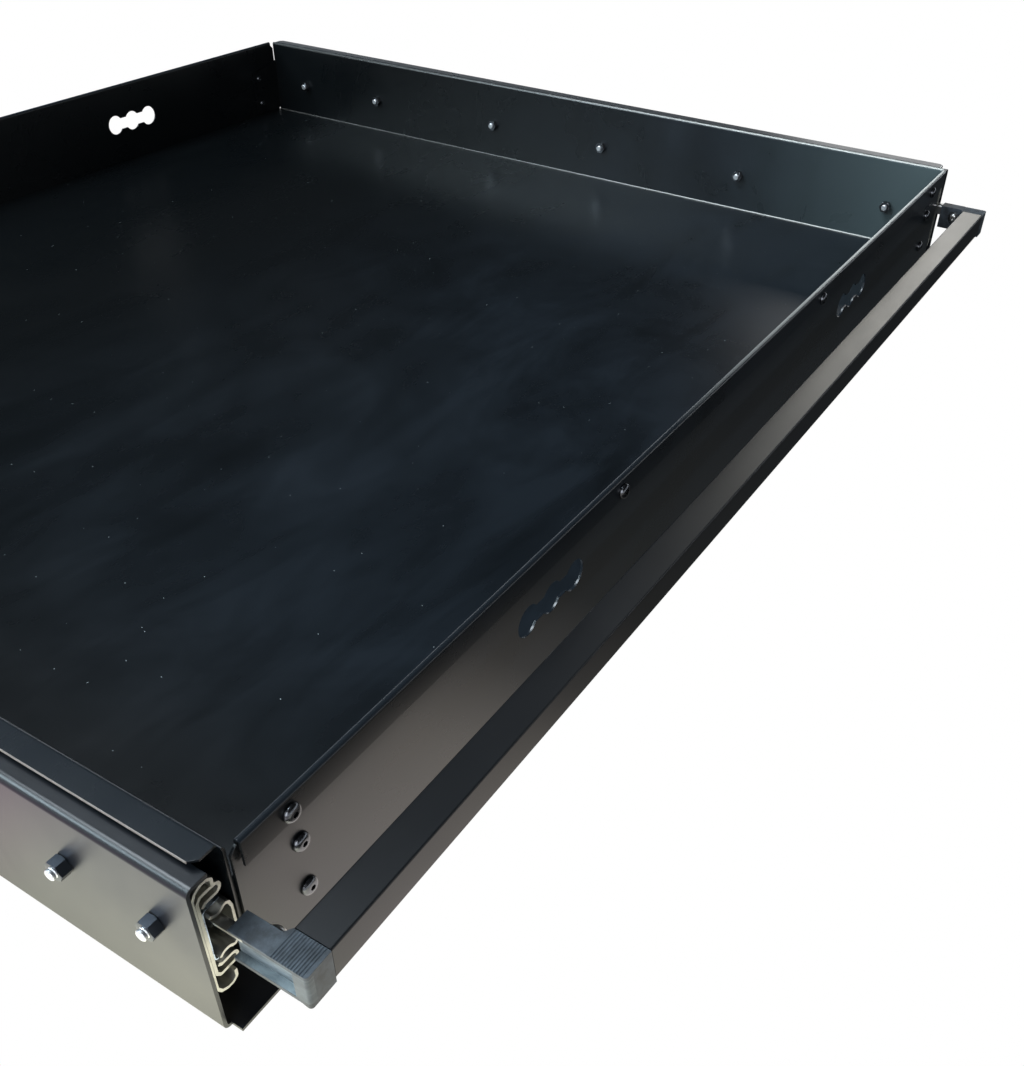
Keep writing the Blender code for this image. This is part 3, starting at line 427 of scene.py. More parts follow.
def powder_coat(name, dark, hazy, smooth_share, rough_share, layers=()):
    """Baked powder coat: a black, faintly pebbled skin whose haze softens what it mirrors."""
    material, tree, shader, where = new_material(name)
    haze = add_node(
        tree,
        "ShaderNodeTexNoise",
        {
            "Vector": where,
            "Scale": scale_of(haze_cloud_mm),
            "Detail": 4.0,
            "Roughness": 0.55,
            "Distortion": 1.4,
        },
    )
    wipes = add_node(
        tree,
        "ShaderNodeMapping",
        {
            "Vector": where,
            "Scale": [scale_of(size) for size in wipe_sizes_mm],
            "Rotation": wipe_turn,
        },
    )
    streaks = add_node(
        tree,
        "ShaderNodeTexNoise",
        {
            "Vector": wipes.outputs["Vector"],
            "Scale": 1.0,
            "Detail": 5.0,
            "Roughness": 0.6,
            "Distortion": 0.8,
        },
    )
    both = overlap(tree, haze.outputs["Fac"], streaks.outputs["Fac"])
    patchy = add_node(
        tree, "ShaderNodeMapRange", {"Value": both, "From Min": 0.05, "From Max": 0.50}
    )
    spread = patchy.outputs["Result"]
    # On the tray, the haze also thins near the left wall as painted shade
    amount = thin_haze_with_painted_wall_shade(tree, where, spread) if layers else spread
    mixed = add_node(
        tree, "ShaderNodeMix", {"Factor": amount, 6: paint(dark), 7: paint(hazy)}, data_type="RGBA"
    )
    colour = mixed.outputs[2]
    for layer in layers:
        colour = layer(tree, where, colour)
    rough = add_node(
        tree, "ShaderNodeMapRange", {"Value": spread, "To Min": smooth_share, "To Max": rough_share}
    )
    pebble = add_node(
        tree, "ShaderNodeTexNoise", {"Vector": where, "Scale": scale_of(pebble_mm), "Detail": 2.0}
    )
    bump = add_node(
        tree,
        "ShaderNodeBump",
        {"Height": pebble.outputs["Fac"], "Strength": 0.10, "Distance": pebble_height},
    )
    feed(
        tree,
        shader,
        {
            "Base Color": colour,
            "Roughness": rough.outputs["Result"],
            "Normal": bump.outputs["Normal"],
        },
    )
    return material


def thin_haze_with_painted_wall_shade(tree, where, amount):
    """Less haze towards the back, and less near the left wall as a painted reflection of the dark
    wall.
    """
    end = front_edge + haze_end_share * tray_inside_back
    deep = slope(
        tree, where, "Y", (front_edge, end), haze_strengths, interpolation_type="SMOOTHSTEP"
    )
    # Painted reflection: the floor darker near the left wall, where it would mirror the dark wall
    clear, full = painted_wall_shade_places
    beside = slope(
        tree, where, "X", (clear * tray_half_width, full * tray_half_width), (painted_wall_shade_share, 1.0)
    )
    return overlap(tree, amount, deep, beside)


def add_painted_wall_light_and_flange_tone(tree, where, below):
    """Right wall paler near the front as painted light that thins out away from it; top flanges paler.
    """
    # Painted light: the right wall made paler towards the front of the tray
    wall = region(tree, where, X=(tray_half_width - rest_gap, far_off))
    end = front_edge + wall_light_end_share * tray_inside_back
    near = slope(tree, where, "Y", (front_edge, end), (1.0, 0.0))
    thin = add_node(tree, "ShaderNodeMath", {0: near, 1: wall_light_thinning}, operation="POWER")
    share = overlap(tree, wall, thin.outputs["Value"])
    walled = add_node(
        tree, "ShaderNodeMix", {"Factor": share, 6: below, 7: paint("#4c595b")}, data_type="RGBA"
    )
    top = region(tree, where, Z=(tray_flange_top - tray_sheet / 2, far_off))
    topped = add_node(
        tree,
        "ShaderNodeMix",
        {"Factor": top, 6: walled.outputs[2], 7: paint("#191e23")},
        data_type="RGBA",
    )
    return topped.outputs[2]


def add_painted_highlights(tree, where, below):
    """Painted highlights on the right wall's bends and the front hem; a painted reflection on flange
    cut edges.
    """
    crest_place = tray_half_width + crest_middle
    crest = region(
        tree,
        where,
        Z=(tray_flange_top - tray_sheet, far_off),
        X=(crest_place - crest_half, crest_place + crest_half),
    )
    crease = region(
        tree,
        where,
        X=(tray_half_width - crease_reach, far_off),
        Z=(-far_off, tray_underside_height + tray_sheet + crease_reach),
    )
    bends = add_node(tree, "ShaderNodeMath", {0: crest, 1: crease}, operation="MAXIMUM")
    end = front_edge + glint_end_share * tray_inside_back
    fade = slope(tree, where, "Y", (front_edge, end), glint_strengths)
    hem = region(
        tree,
        where,
        Z=(panel_top - hem_glint_drop, far_off),
        Y=(-far_off, front_edge + hem_depth),
    )
    start, full = hem_glint_shares
    far = slope(tree, where, "X", (start * tray_half_width, full * tray_half_width))
    lines = add_node(
        tree,
        "ShaderNodeMath",
        {0: overlap(tree, bends.outputs["Value"], fade), 1: overlap(tree, hem, far)},
        operation="MAXIMUM",
    )
    # Painted highlight: pale lines where the bends and the hem would catch the light
    lined = add_node(
        tree,
        "ShaderNodeMix",
        {"Factor": lines.outputs["Value"], 6: below, 7: paint("#b8b8b2")},
        data_type="RGBA",
    )
    # Painted reflection: the flanges' cut edges tan, as they would mirror the bright room
    outward = add_node(tree, "ShaderNodeVectorMath", {0: where}, operation="ABSOLUTE")
    cut = region(tree, outward.outputs["Vector"], X=(tray_flange_edge - rest_gap, far_off))
    edged = add_node(
        tree,
        "ShaderNodeMix",
        {"Factor": cut, 6: lined.outputs[2], 7: paint("#948c84")},
        data_type="RGBA",
    )
    return edged.outputs[2]


def add_dust(tree, where, below):
    """A few pale specks of dust that lie on the floor of the tray, drawn large enough to show."""
    flat = add_node(
        tree,
        "ShaderNodeTexVoronoi",
        {"Vector": where, "Scale": scale_of(speck_spacing_mm), "Randomness": 1.0},
        voronoi_dimensions="2D",
    )
    near = add_node(
        tree,
        "ShaderNodeMath",
        {0: flat.outputs["Distance"], 1: speck_radius_mm / speck_spacing_mm},
        operation="LESS_THAN",
    )
    pick = add_node(tree, "ShaderNodeSeparateColor", {"Color": flat.outputs["Color"]})
    few = add_node(
        tree, "ShaderNodeMath", {0: pick.outputs["Red"], 1: speck_share}, operation="LESS_THAN"
    )
    low = region(tree, where, Z=(-far_off, tray_underside_height + tray_sheet + tray_bend))
    share = overlap(tree, near.outputs["Value"], few.outputs["Value"], low)
    mixed = add_node(
        tree, "ShaderNodeMix", {"Factor": share, 6: below, 7: paint("#8d9698")}, data_type="RGBA"
    )
    return mixed.outputs[2]


def zinc_sheet(name, code, low, high, spangle_mm):
    """Galvanised strip: cream-grey zinc with cloudy spangle that mottles its shine."""
    material, tree, shader, where = new_material(name)
    spangle = add_node(
        tree, "ShaderNodeTexNoise", {"Vector": where, "Scale": scale_of(spangle_mm), "Detail": 3.0}
    )
    rough = add_node(
        tree,
        "ShaderNodeMapRange",
        {
            "Value": spangle.outputs["Fac"],
            "From Min": 0.3,
            "From Max": 0.7,
            "To Min": low,
            "To Max": high,
        },
    )
    bump = add_node(
        tree,
        "ShaderNodeBump",
        {"Height": spangle.outputs["Fac"], "Strength": 0.15, "Distance": spangle_height},
    )
    feed(
        tree,
        shader,
        {
            "Base Color": paint(code),
            "Metallic": 1.0,
            "Roughness": rough.outputs["Result"],
            "Normal": bump.outputs["Normal"],
        },
    )
    return material


def fine_steel(name, code, rough_share):
    """Turned steel under a thin plating, or ground and bare: a fine grain breaks up its glints."""
    material, tree, shader, where = new_material(name)
    grain = add_node(
        tree, "ShaderNodeTexNoise", {"Vector": where, "Scale": scale_of(plate_grain_mm), "Detail": 2.0}
    )
    bump = add_node(
        tree,
        "ShaderNodeBump",
        {"Height": grain.outputs["Fac"], "Strength": 0.12, "Distance": grain_height},
    )
    feed(
        tree,
        shader,
        {
            "Base Color": paint(code),
            "Metallic": 1.0,
            "Roughness": rough_share,
            "Normal": bump.outputs["Normal"],
        },
    )
    return material


def moulded_plastic(name, dark, pale):
    """Injection-moulded plastic: spark-eroded grain, and a chalky bloom of dust from handling."""
    material, tree, shader, where = new_material(name)
    bloom = add_node(
        tree,
        "ShaderNodeTexNoise",
        {"Vector": where, "Scale": scale_of(bloom_cloud_mm), "Detail": 5.0, "Roughness": 0.65},
    )
    share = add_node(
        tree,
        "ShaderNodeMapRange",
        {"Value": bloom.outputs["Fac"], "From Min": 0.36, "From Max": 0.85},
    )
    colour = add_node(
        tree,
        "ShaderNodeMix",
        {"Factor": share.outputs["Result"], 6: paint(dark), 7: paint(pale)},
        data_type="RGBA",
    )
    grain = add_node(
        tree, "ShaderNodeTexNoise", {"Vector": where, "Scale": scale_of(mould_grain_mm), "Detail": 2.0}
    )
    bump = add_node(
        tree,
        "ShaderNodeBump",
        {"Height": grain.outputs["Fac"], "Strength": 0.2, "Distance": grain_height},
    )
    feed(
        tree,
        shader,
        {
            "Base Color": add_scuffs_and_recess_light(tree, where, colour.outputs[2]),
            "Roughness": 0.48,
            "Normal": bump.outputs["Normal"],
        },
    )
    return material


def add_scuffs_and_recess_light(tree, where, below):
    """Pale smudges and fine streaks along the lever's open side, between its rims, partly painted
    light lifting its shade.
    """
    outward = add_node(tree, "ShaderNodeVectorMath", {0: where}, operation="ABSOLUTE")
    open_side = region(
        tree, outward.outputs["Vector"], X=(lever_outer - lever_recess_depth - rest_gap, far_off)
    )
    level = region(tree, where, Z=(lever_bottom + lever_wall, lever_top - lever_wall))
    block_end = front_edge + lever_front + lever_block
    behind = slope(
        tree, where, "Y", (block_end - rest_gap, block_end + rest_gap), (recess_light_on_block, 1.0)
    )
    inside = overlap(tree, open_side, level, behind)
    along = add_node(
        tree,
        "ShaderNodeMapping",
        {"Vector": where, "Scale": [scale_of(size) for size in scuff_sizes_mm]},
    )
    streaks = add_node(
        tree,
        "ShaderNodeTexNoise",
        {
            "Vector": along.outputs["Vector"],
            "Scale": 1.0,
            "Detail": 4.0,
            "Roughness": 0.6,
            "Distortion": 0.6,
        },
    )
    spread = add_node(
        tree,
        "ShaderNodeMapRange",
        {"Value": streaks.outputs["Fac"], "From Min": 0.34, "From Max": 0.72},
    )
    pale = add_node(
        tree,
        "ShaderNodeMix",
        {"Factor": spread.outputs["Result"], 6: paint("#525e64"), 7: paint("#8d9a9e")},
        data_type="RGBA",
    )
    # Partly painted light: the recess made paler where it would lie in shade
    mixed = add_node(
        tree, "ShaderNodeMix", {"Factor": inside, 6: below, 7: pale.outputs[2]}, data_type="RGBA"
    )
    return mixed.outputs[2]


def make_materials():
    """Every surface of the drawer, by the name of its record slot or by its own."""
    # Dust on the tray, with painted light on its right wall and painted highlights on its bends and
    # hem
    wear_and_painted_light = (add_painted_wall_light_and_flange_tone, add_painted_highlights, add_dust)
    return {
        "bracket_coating": powder_coat("bracket_powder_coat", "#0d1015", "#191d23", 0.32, 0.42),
        "tray_coating": powder_coat("tray_powder_coat", "#05080a", "#171d23", 0.24, 0.34, wear_and_painted_light),
        "bar_coating": powder_coat("bar_powder_coat", "#0e1013", "#16181b", 0.34, 0.44),
        "rail_zinc": zinc_sheet("galvanised_rail", "#c4c3ba", 0.36, 0.54, rail_spangle_mm),
        "cage_zinc": zinc_sheet("blue_zinc_cage", "#b4c3d4", 0.22, 0.36, cage_spangle_mm),
        "lever_plastic": moulded_plastic("lever_plastic", "#2a3036", "#56616a"),
        "strap_steel": fine_steel("bright_zinc_steel", "#c8c8c6", 0.28),
        "screw_black": fine_steel("black_zinc_steel", "#66686c", 0.26),
        "nut_zinc": fine_steel("grey_zinc_steel", "#40454c", 0.34),
        "bolt_end": fine_steel("bright_bolt_end", "#e2e4e6", 0.42),
        "ball_steel": fine_steel("polished_ball_steel", "#d9d9d9", 0.08),
    }


def spot(axis, along, first, second):
    """A point from its place along an axis and its two places across it.

    The depth is measured from the bracket's front edge.
    """
    if axis == "X":
        return Vector((along, first + front_edge, second))
    if axis == "Y":
        return Vector((first, along + front_edge, second))
    return Vector((first, second + front_edge, along))


def add_prism(bm, outline, axis, start, end):
    """A flat outline drawn across an axis, carried along it."""
    near = [bm.verts.new(spot(axis, start, *point)) for point in outline]
    face = bm.faces.new(near)
    grown = bmesh.ops.extrude_face_region(bm, geom=[face])
    moved = [item for item in grown["geom"] if isinstance(item, bmesh.types.BMVert)]
    step = spot(axis, end, 0.0, 0.0) - spot(axis, start, 0.0, 0.0)
    bmesh.ops.translate(bm, verts=moved, vec=step)


def add_box(bm, low, high):
    """A plain block between two corners."""
    outline = [(low[0], low[1]), (high[0], low[1]), (high[0], high[1]), (low[0], high[1])]
    add_prism(bm, outline, "Z", low[2], high[2])


def add_hole(bm, axis, point, radius, length):
    """A round cutter on its axis, centred on a point."""
    turn = {"X": Matrix.Rotation(math.pi / 2, 4, "Y"), "Y": Matrix.Rotation(math.pi / 2, 4, "X")}
    x, y, z = point
    matrix = Matrix.Translation((x, y + front_edge, z)) @ turn.get(axis, Matrix.Identity(4))
    bmesh.ops.create_cone(
        bm,
        cap_ends=True,
        segments=round_sides,
        radius1=radius,
        radius2=radius,
        depth=length,
        matrix=matrix,
    )


def rounded(points, radii):
    """The line through these points with each inner corner bent to its radius."""
    line = [Vector(points[0])]
    for index in range(1, len(points) - 1):
        corner = Vector(points[index])
        back = (Vector(points[index - 1]) - corner).normalized()
        ahead = (Vector(points[index + 1]) - corner).normalized()
        radius = radii[index - 1]
        half = back.angle(ahead) / 2
        reach = radius / math.tan(half)
        start = corner + back * reach
        end = corner + ahead * reach
        centre = corner + (back + ahead).normalized() * radius / math.sin(half)
        first = start - centre
        sweep = first.angle_signed(end - centre)
        for step in range(bend_steps + 1):
            turned = first.copy()
            turned.rotate(Matrix.Rotation(-sweep * step / bend_steps, 2))
            line.append(centre + turned)
    line.append(Vector(points[-1]))
    return [(point.x, point.y) for point in line]


def thickened(line, sheet):
    """The closed outline of a sheet whose middle runs along this line."""
    points = [Vector(point) for point in line]
    left = []
    right = []
    for index, point in enumerate(points):
        before = (point - points[index - 1]).normalized() if index else None
        after = (points[index + 1] - point).normalized() if index < len(points) - 1 else None
        before = before or after
        after = after or before
        middle = (before + after).normalized()
        normal = Vector((-middle.y, middle.x))
        reach = sheet / 2 / max(middle.dot(before), mitre_limit)
        left.append(point + normal * reach)
        right.append(point - normal * reach)
    return [(point.x, point.y) for point in [*left, *reversed(right)]]


def new_object(name, bm):
    """An object at the origin from a finished shape, its faces turned outwards."""
    bmesh.ops.recalc_face_normals(bm, faces=bm.faces)
    mesh = bpy.data.meshes.new(name)
    bm.to_mesh(mesh)
    bm.free()
    obj = bpy.data.objects.new(name, mesh)
    bpy.context.scene.collection.objects.link(obj)
    return obj


def bake(obj):
    """Makes the modifiers' result the object's own mesh."""
    graph = bpy.context.evaluated_depsgraph_get()
    mesh = bpy.data.meshes.new_from_object(obj.evaluated_get(graph))
    obj.modifiers.clear()
    old = obj.data
    obj.data = mesh
    bpy.data.meshes.remove(old)


def carve(obj, bm, operation="DIFFERENCE"):
    """Cuts a shape out of an object, or joins one to it."""
    helper = new_object(obj.name + "_helper", bm)
    boolean = obj.modifiers.new("carve", "BOOLEAN")
    boolean.operation = operation
    boolean.object = helper
    boolean.solver = "EXACT"
    bake(obj)
    bpy.data.objects.remove(helper, do_unlink=True)


def dress(obj, body, material, replaced=(), edge=0.0):
    """Softens a piece's edges, smooths its bends and hangs it on its body."""
    if edge:
        bevel = obj.modifiers.new("edges", "BEVEL")
        bevel.width = edge
        bevel.segments = edge_segments
        bevel.limit_method = "ANGLE"
        bevel.angle_limit = soften_angle
        bevel.use_clamp_overlap = True
        bake(obj)
    obj.data.materials.clear()
    obj.data.materials.append(materials[material])
    obj.data.shade_smooth()
    obj.data.set_sharp_from_angle(angle=smooth_angle)
    weighted = obj.modifiers.new("weighted", "WEIGHTED_NORMAL")
    weighted.keep_sharp = True
    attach(obj, body)
    if replaced:
        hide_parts(*replaced)
    return obj


def round_edges(bm, edges, radius):
    """Rounds these edges of a shape that isn't an object yet."""
    bmesh.ops.bevel(
        bm,
        geom=edges,
        offset=radius,
        segments=bend_steps,
        profile=0.5,
        affect="EDGES",
        material=-1,
    )


def slide_spot(side, depth, rise):
    """A place in the slide, across the drawer and up."""
    return side * (bracket_inner_face - depth), slide_middle_height + rise


def both_halves(upper):
    """A slide line from its upper half, mirrored below."""
    return [*((depth, -rise) for depth, rise in reversed(upper)), *upper]


def build_bracket(side):
    """A folded upright that is screwed to the floor, with its foot a little ahead."""
    name = side_names[side] + "_floor_bracket"
    half = bracket_sheet / 2
    outer = bracket_half_width - half
    path = [
        (side * (bracket_half_width - bracket_top_flange), bracket_height - half),
        (side * outer, bracket_height - half),
        (side * outer, half),
        (side * (bracket_half_width - bracket_floor_flange), half),
    ]
    bm = bmesh.new()
    outline = thickened(rounded(path, [bracket_bend, bracket_bend]), bracket_sheet)
    add_prism(bm, outline, "Y", -bracket_foot_lead, bracket_length)
    obj = new_object(name + "_skin", bm)
    bm = bmesh.new()
    inward = bracket_half_width - bracket_top_flange - overrun
    relief = bracket_half_width - bracket_relief_width
    cut = [
        (side * inward, bracket_height + overrun),
        (side * inward, bracket_relief_height),
        (side * relief, bracket_relief_height),
        (side * relief, -overrun),
        (side * (bracket_half_width + overrun), -overrun),
        (side * (bracket_half_width + overrun), bracket_height + overrun),
    ]
    add_prism(bm, cut, "Y", -bracket_foot_lead - overrun, 0.0)
    carve(obj, bm)
    bm = bmesh.new()
    for along in bracket_bolt_places:
        point = (side * outer, along, bracket_bolt_height)
        add_hole(bm, "X", point, shank_radius + hole_clearance, bracket_sheet + 2 * overrun)
    across = side * (bracket_half_width - bracket_floor_flange + floor_hole_inset)
    for along in floor_hole_places:
        add_hole(bm, "Z", (across, along, half), floor_hole_radius, bracket_sheet + 2 * overrun)
    carve(obj, bm)
    dress(obj, "fixed_frame", "bracket_coating", (name,), sheet_edge)


def build_rail(name, side, line, sheet, start, end, body, material, edge):
    """One strip of the slide, bent along its line."""
    flat = [slide_spot(side, depth, rise) for depth, rise in line]
    bm = bmesh.new()
    add_prism(bm, thickened(flat, sheet), "Y", start, end)
    obj = new_object(name + "_skin", bm)
    return dress(obj, body, material, (name,), edge)


def build_outer_rail(side):
    """The rail that stays on the bracket: a web with a curled race at its top and bottom."""
    upper = [
        (rest_gap + rail_sheet / 2, outer_web_half),
        (outer_shoulder_depth, outer_shoulder_rise),
        (outer_top_depth, outer_top_rise),
        (outer_crown_end, outer_top_rise),
        (outer_lip_depth, outer_lip_rise),
        (outer_lip_depth, outer_lip_end),
    ]
    line = rounded(both_halves(upper), [rail_bend] * (2 * len(upper) - 2))
    name = side_names[side] + "_outer_rail"
    end = slide_front + slide_length
    build_rail(name, side, line, rail_sheet, slide_front, end, "fixed_frame", "rail_zinc", sheet_edge)


def build_middle_rail(side):
    """The rail between the two others: each edge folded back on itself."""
    points = [
        (middle_web_depth, middle_web_half),
        (middle_leg_start, middle_leg_rise),
        (middle_fold_depth, middle_leg_rise),
    ]
    fold_radius = (middle_leg_rise - middle_low_leg_rise) / 2
    fold_middle = (middle_leg_rise + middle_low_leg_rise) / 2
    fold = []
    steps = 2 * bend_steps
    for step in range(1, steps):
        turn = math.pi * step / steps
        fold.append(
            (
                middle_fold_depth + fold_radius * math.sin(turn),
                fold_middle + fold_radius * math.cos(turn),
            )
        )
    upper = [
        *rounded(points, [rail_bend / 2]),
        *fold,
        (middle_fold_depth, middle_low_leg_rise),
        (middle_low_leg_end, middle_low_leg_rise),
        (middle_lip_depth, middle_lip_rise),
    ]
    name = side_names[side] + "_middle_rail"
    start = slide_front + middle_front_lag
    end = slide_front + slide_length - middle_back_lead
    body = side_names[side] + "_middle"
    build_rail(name, side, both_halves(upper), rail_sheet, start, end, body, "rail_zinc", sheet_edge)


def build_inner_rail(side):
    """The rail that is bolted to the tray's wall: each edge is curled to cup its balls."""
    upper = [
        (inner_web_depth, inner_web_half),
        (inner_web_depth - inner_shoulder_step, inner_shoulder_rise),
        (inner_web_depth - inner_crest_step, inner_crest_rise),
    ]
    race_radius = inner_ball_radius + rest_gap + rail_sheet / 2
    first, last = inner_race_degrees
    steps = 2 * bend_steps
    for step in range(steps + 1):
        turn = math.radians(first + (last - first) * step / steps)
        upper.append(
            (
                inner_ball_depth + race_radius * math.cos(turn),
                inner_ball_rise + race_radius * math.sin(turn),
            )
        )
    name = side_names[side] + "_inner_rail"
    end = slide_front + slide_length
    build_rail(
        name, side, both_halves(upper), rail_sheet, slide_front, end, "drawer", "rail_zinc", sheet_edge
    )


def build_balls(name, side, depth, rise, radius, front, length, body):
    """The two rows of polished balls of one cage."""
    bm = bmesh.new()
    first = front + cage_end_margin
    gaps = round((length - 2 * cage_end_margin) / ball_pitch)
    pitch = (length - 2 * cage_end_margin) / gaps
    for way in (-1, 1):
        across, up = slide_spot(side, depth, way * rise)
        for index in range(gaps + 1):
            centre = spot("Y", first + index * pitch, across, up)
            bmesh.ops.create_uvsphere(
                bm,
                u_segments=ball_sides,
                v_segments=ball_rings,
                radius=radius,
                matrix=Matrix.Translation(centre),
            )
    obj = new_object(name, bm)
    dress(obj, body, "ball_steel")


def build_cage(side, word, line, sheet, ball, start, length):
    """One strip that keeps its balls apart, and its balls."""
    name = f"{side_names[side]}_{word}"
    body = name + "_cage"
    build_rail(
        name + "_ball_cage", side, line, sheet, start, start + length, body, "cage_zinc", 0.0
    )
    build_balls(name + "_balls", side, *ball, start, length, body)


def build_cages(side):
    """The cage between the outer and middle rails, and the one on the inner rail."""
    upper = [
        (outer_cage_web_depth, outer_cage_web_half),
        (outer_cage_arm_start, outer_ball_rise),
        (outer_cage_arm_end, outer_ball_rise),
    ]
    line = rounded(both_halves(upper), [rail_bend / 2] * 4)
    ball = (outer_ball_depth, outer_ball_rise, outer_ball_radius)
    build_cage(side, "outer", line, outer_cage_sheet, ball, outer_cage_front, outer_cage_length)
    upper = [
        (inner_cage_web_depth, inner_ball_rise),
        (inner_cage_arm_end, inner_ball_rise),
    ]
    line = rounded(both_halves(upper), [rail_bend] * 2)
    ball = (inner_ball_depth, inner_ball_rise, inner_ball_radius)
    build_cage(side, "inner", line, inner_cage_sheet, ball, inner_cage_front, inner_cage_length)


def mirrored_depth(depth):
    """The same place measured from the tray's other end."""
    return tray_inside_back + panel_inner_face - depth


def build_tray():
    """The folded floor and sides of the tray, with a tab at each end of each side."""
    half = tray_sheet / 2
    wall = tray_half_width + half
    top = tray_flange_top - half
    floor = tray_underside_height + half
    path = [
        (-tray_flange_edge, top),
        (-wall, top),
        (-wall, floor),
        (wall, floor),
        (wall, top),
        (tray_flange_edge, top),
    ]
    front = panel_inner_face + rest_gap
    bm = bmesh.new()
    outline = thickened(rounded(path, [tray_bend] * 4), tray_sheet)
    add_prism(bm, outline, "Y", front, mirrored_depth(front))
    obj = new_object("tray_pan_skin", bm)
    tabs = bmesh.new()
    notches = bmesh.new()
    holes = bmesh.new()
    for side in (-1, 1):
        low = tray_underside_height + tray_sheet + tray_bend + end_tab_floor_gap
        inner = tray_half_width - end_tab_width
        fast = tray_half_width + join_depth
        tab = [
            (side * inner, low),
            (side * fast, low),
            (side * fast, end_tab_wall_height),
            (side * inner, end_tab_edge_height),
        ]
        for start, end in (
            (front, front + tray_sheet),
            (mirrored_depth(front + tray_sheet), mirrored_depth(front)),
        ):
            add_prism(tabs, tab, "Y", start, end)
        near = tray_half_width + tray_sheet + flange_notch_gap
        far = tray_flange_edge + overrun
        setback = front + flange_setback
        chamfer = setback + flange_corner_cut
        notch = [
            (near, -overrun),
            (far, -overrun),
            (far, chamfer + overrun),
            (tray_flange_edge - flange_corner_cut, setback),
            (near, setback),
        ]
        for flip in (False, True):
            outline = [(side * x, mirrored_depth(y) if flip else y) for x, y in notch]
            low_cut = tray_flange_top - tray_sheet - overrun
            add_prism(notches, outline, "Z", low_cut, tray_flange_top + overrun)
        for along in tray_bolt_places:
            point = (side * wall, along, slide_middle_height)
            length = tray_sheet + 2 * overrun
            add_hole(holes, "X", point, shank_radius + hole_clearance, length)
        for across, heights, depth in (
            (front_end_screw_side, front_end_screw_heights, front),
            (back_end_screw_side, back_end_screw_heights, mirrored_depth(front)),
        ):
            for height in heights:
                point = (side * across, depth, height)
                length = 2 * (tray_sheet + overrun)
                add_hole(holes, "Y", point, shank_radius + hole_clearance, length)
    carve(obj, tabs, "UNION")
    carve(obj, notches)
    carve(obj, holes)
    dress(obj, "drawer", "tray_coating", ("tray_pan",), sheet_edge)


def slot_outline(centre):
    """The three-lobed hand slot."""
    waist = math.asin(slot_neck_half / slot_lobe_radius)
    steps = 3 * bend_steps
    upper = []
    for index in (-1, 0, 1):
        start = math.pi - waist if index > -1 else math.pi
        end = waist if index < 1 else 0.0
        for step in range(steps + 1):
            turn = start + (end - start) * step / steps
            across = centre + index * slot_lobe_pitch + slot_lobe_radius * math.cos(turn)
            upper.append((across, slot_lobe_radius * math.sin(turn)))
    points = [(across, slot_height + rise) for across, rise in upper]
    points += [(across, slot_height - rise) for across, rise in reversed(upper[1:-1])]
    return points


def build_panel(name, flip):
    """An end wall of the tray with its top edge folded outwards."""
    half = tray_sheet / 2
    leaf = panel_inner_face - half
    fold_centre = leaf - panel_hem_radius
    fold_height = panel_top - half - panel_hem_radius
    steps = 2 * bend_steps
    line = [(leaf, tray_underside_height)]
    for step in range(steps + 1):
        turn = math.pi * step / steps
        line.append(
            (
                fold_centre + panel_hem_radius * math.cos(turn),
                fold_height + panel_hem_radius * math.sin(turn),
            )
        )
    line.append((fold_centre - panel_hem_radius, panel_hem_end))
    if flip:
        line = [(mirrored_depth(y), z) for y, z in line]
    bm = bmesh.new()
    add_prism(bm, thickened(line, tray_sheet), "X", -panel_half_width, panel_half_width)
    obj = new_object(name + "_skin", bm)
    ends = sorted(
        mirrored_depth(y) if flip else y
        for y in (fold_centre - panel_hem_radius - overrun, leaf + overrun)
    )
    leaf_ends = sorted(
        mirrored_depth(y) if flip else y
        for y in (fold_centre - panel_hem_radius - overrun, fold_centre)
    )
    corners = bmesh.new()
    holes = bmesh.new()
    for side in (-1, 1):
        corner = [
            (side * panel_hem_half_width, panel_top + overrun),
            (side * panel_hem_half_width, panel_corner_rise),
            (side * panel_half_width, panel_corner_drop),
            (side * (panel_half_width + overrun), panel_corner_drop),
            (side * (panel_half_width + overrun), panel_top + overrun),
        ]
        add_prism(corners, corner, "Y", *ends)
        add_prism(holes, slot_outline(side * slot_offset), "Y", *ends)
        across = back_end_screw_side if flip else front_end_screw_side
        for height in back_end_screw_heights if flip else front_end_screw_heights:
            point = (side * across, sum(ends) / 2, height)
            add_hole(holes, "Y", point, shank_radius + hole_clearance, ends[1] - ends[0])
    if not flip:
        for across in hem_screw_sides:
            point = (across, sum(ends) / 2, hem_screw_height)
            add_hole(holes, "Y", point, shank_radius + hole_clearance, ends[1] - ends[0])
    carve(obj, corners)
    carve(obj, holes)
    for side in (-1, 1):
        bm = bmesh.new()
        wide = sorted((side * panel_hem_half_width, side * (panel_half_width + overrun)))
        add_box(
            bm,
            (wide[0], leaf_ends[0], panel_hem_end - overrun),
            (wide[1], leaf_ends[1], panel_top + overrun),
        )
        carve(obj, bm)
    dress(obj, "drawer", "tray_coating", (name,), sheet_edge)


def build_bar():
    """The square pull tube with rounded corners."""
    bm = bmesh.new()
    bar_end = lever_wide_inner - rest_gap
    low = (-bar_end, bar_front, bar_top - bar_size)
    high = (bar_end, bar_front + bar_size, bar_top)
    add_box(bm, low, high)
    long_edges = [
        edge for edge in bm.edges if abs(edge.verts[0].co.x - edge.verts[1].co.x) > bar_end
    ]
    round_edges(bm, long_edges, bar_corner)
    obj = new_object("pull_bar_skin", bm)
    bm = bmesh.new()
    add_box(
        bm,
        (low[0] - overrun, low[1] + bar_wall, low[2] + bar_wall),
        (high[0] + overrun, high[1] - bar_wall, high[2] - bar_wall),
    )
    carve(obj, bm)
    dress(obj, "release", "bar_coating", ("pull_bar",))
    return obj


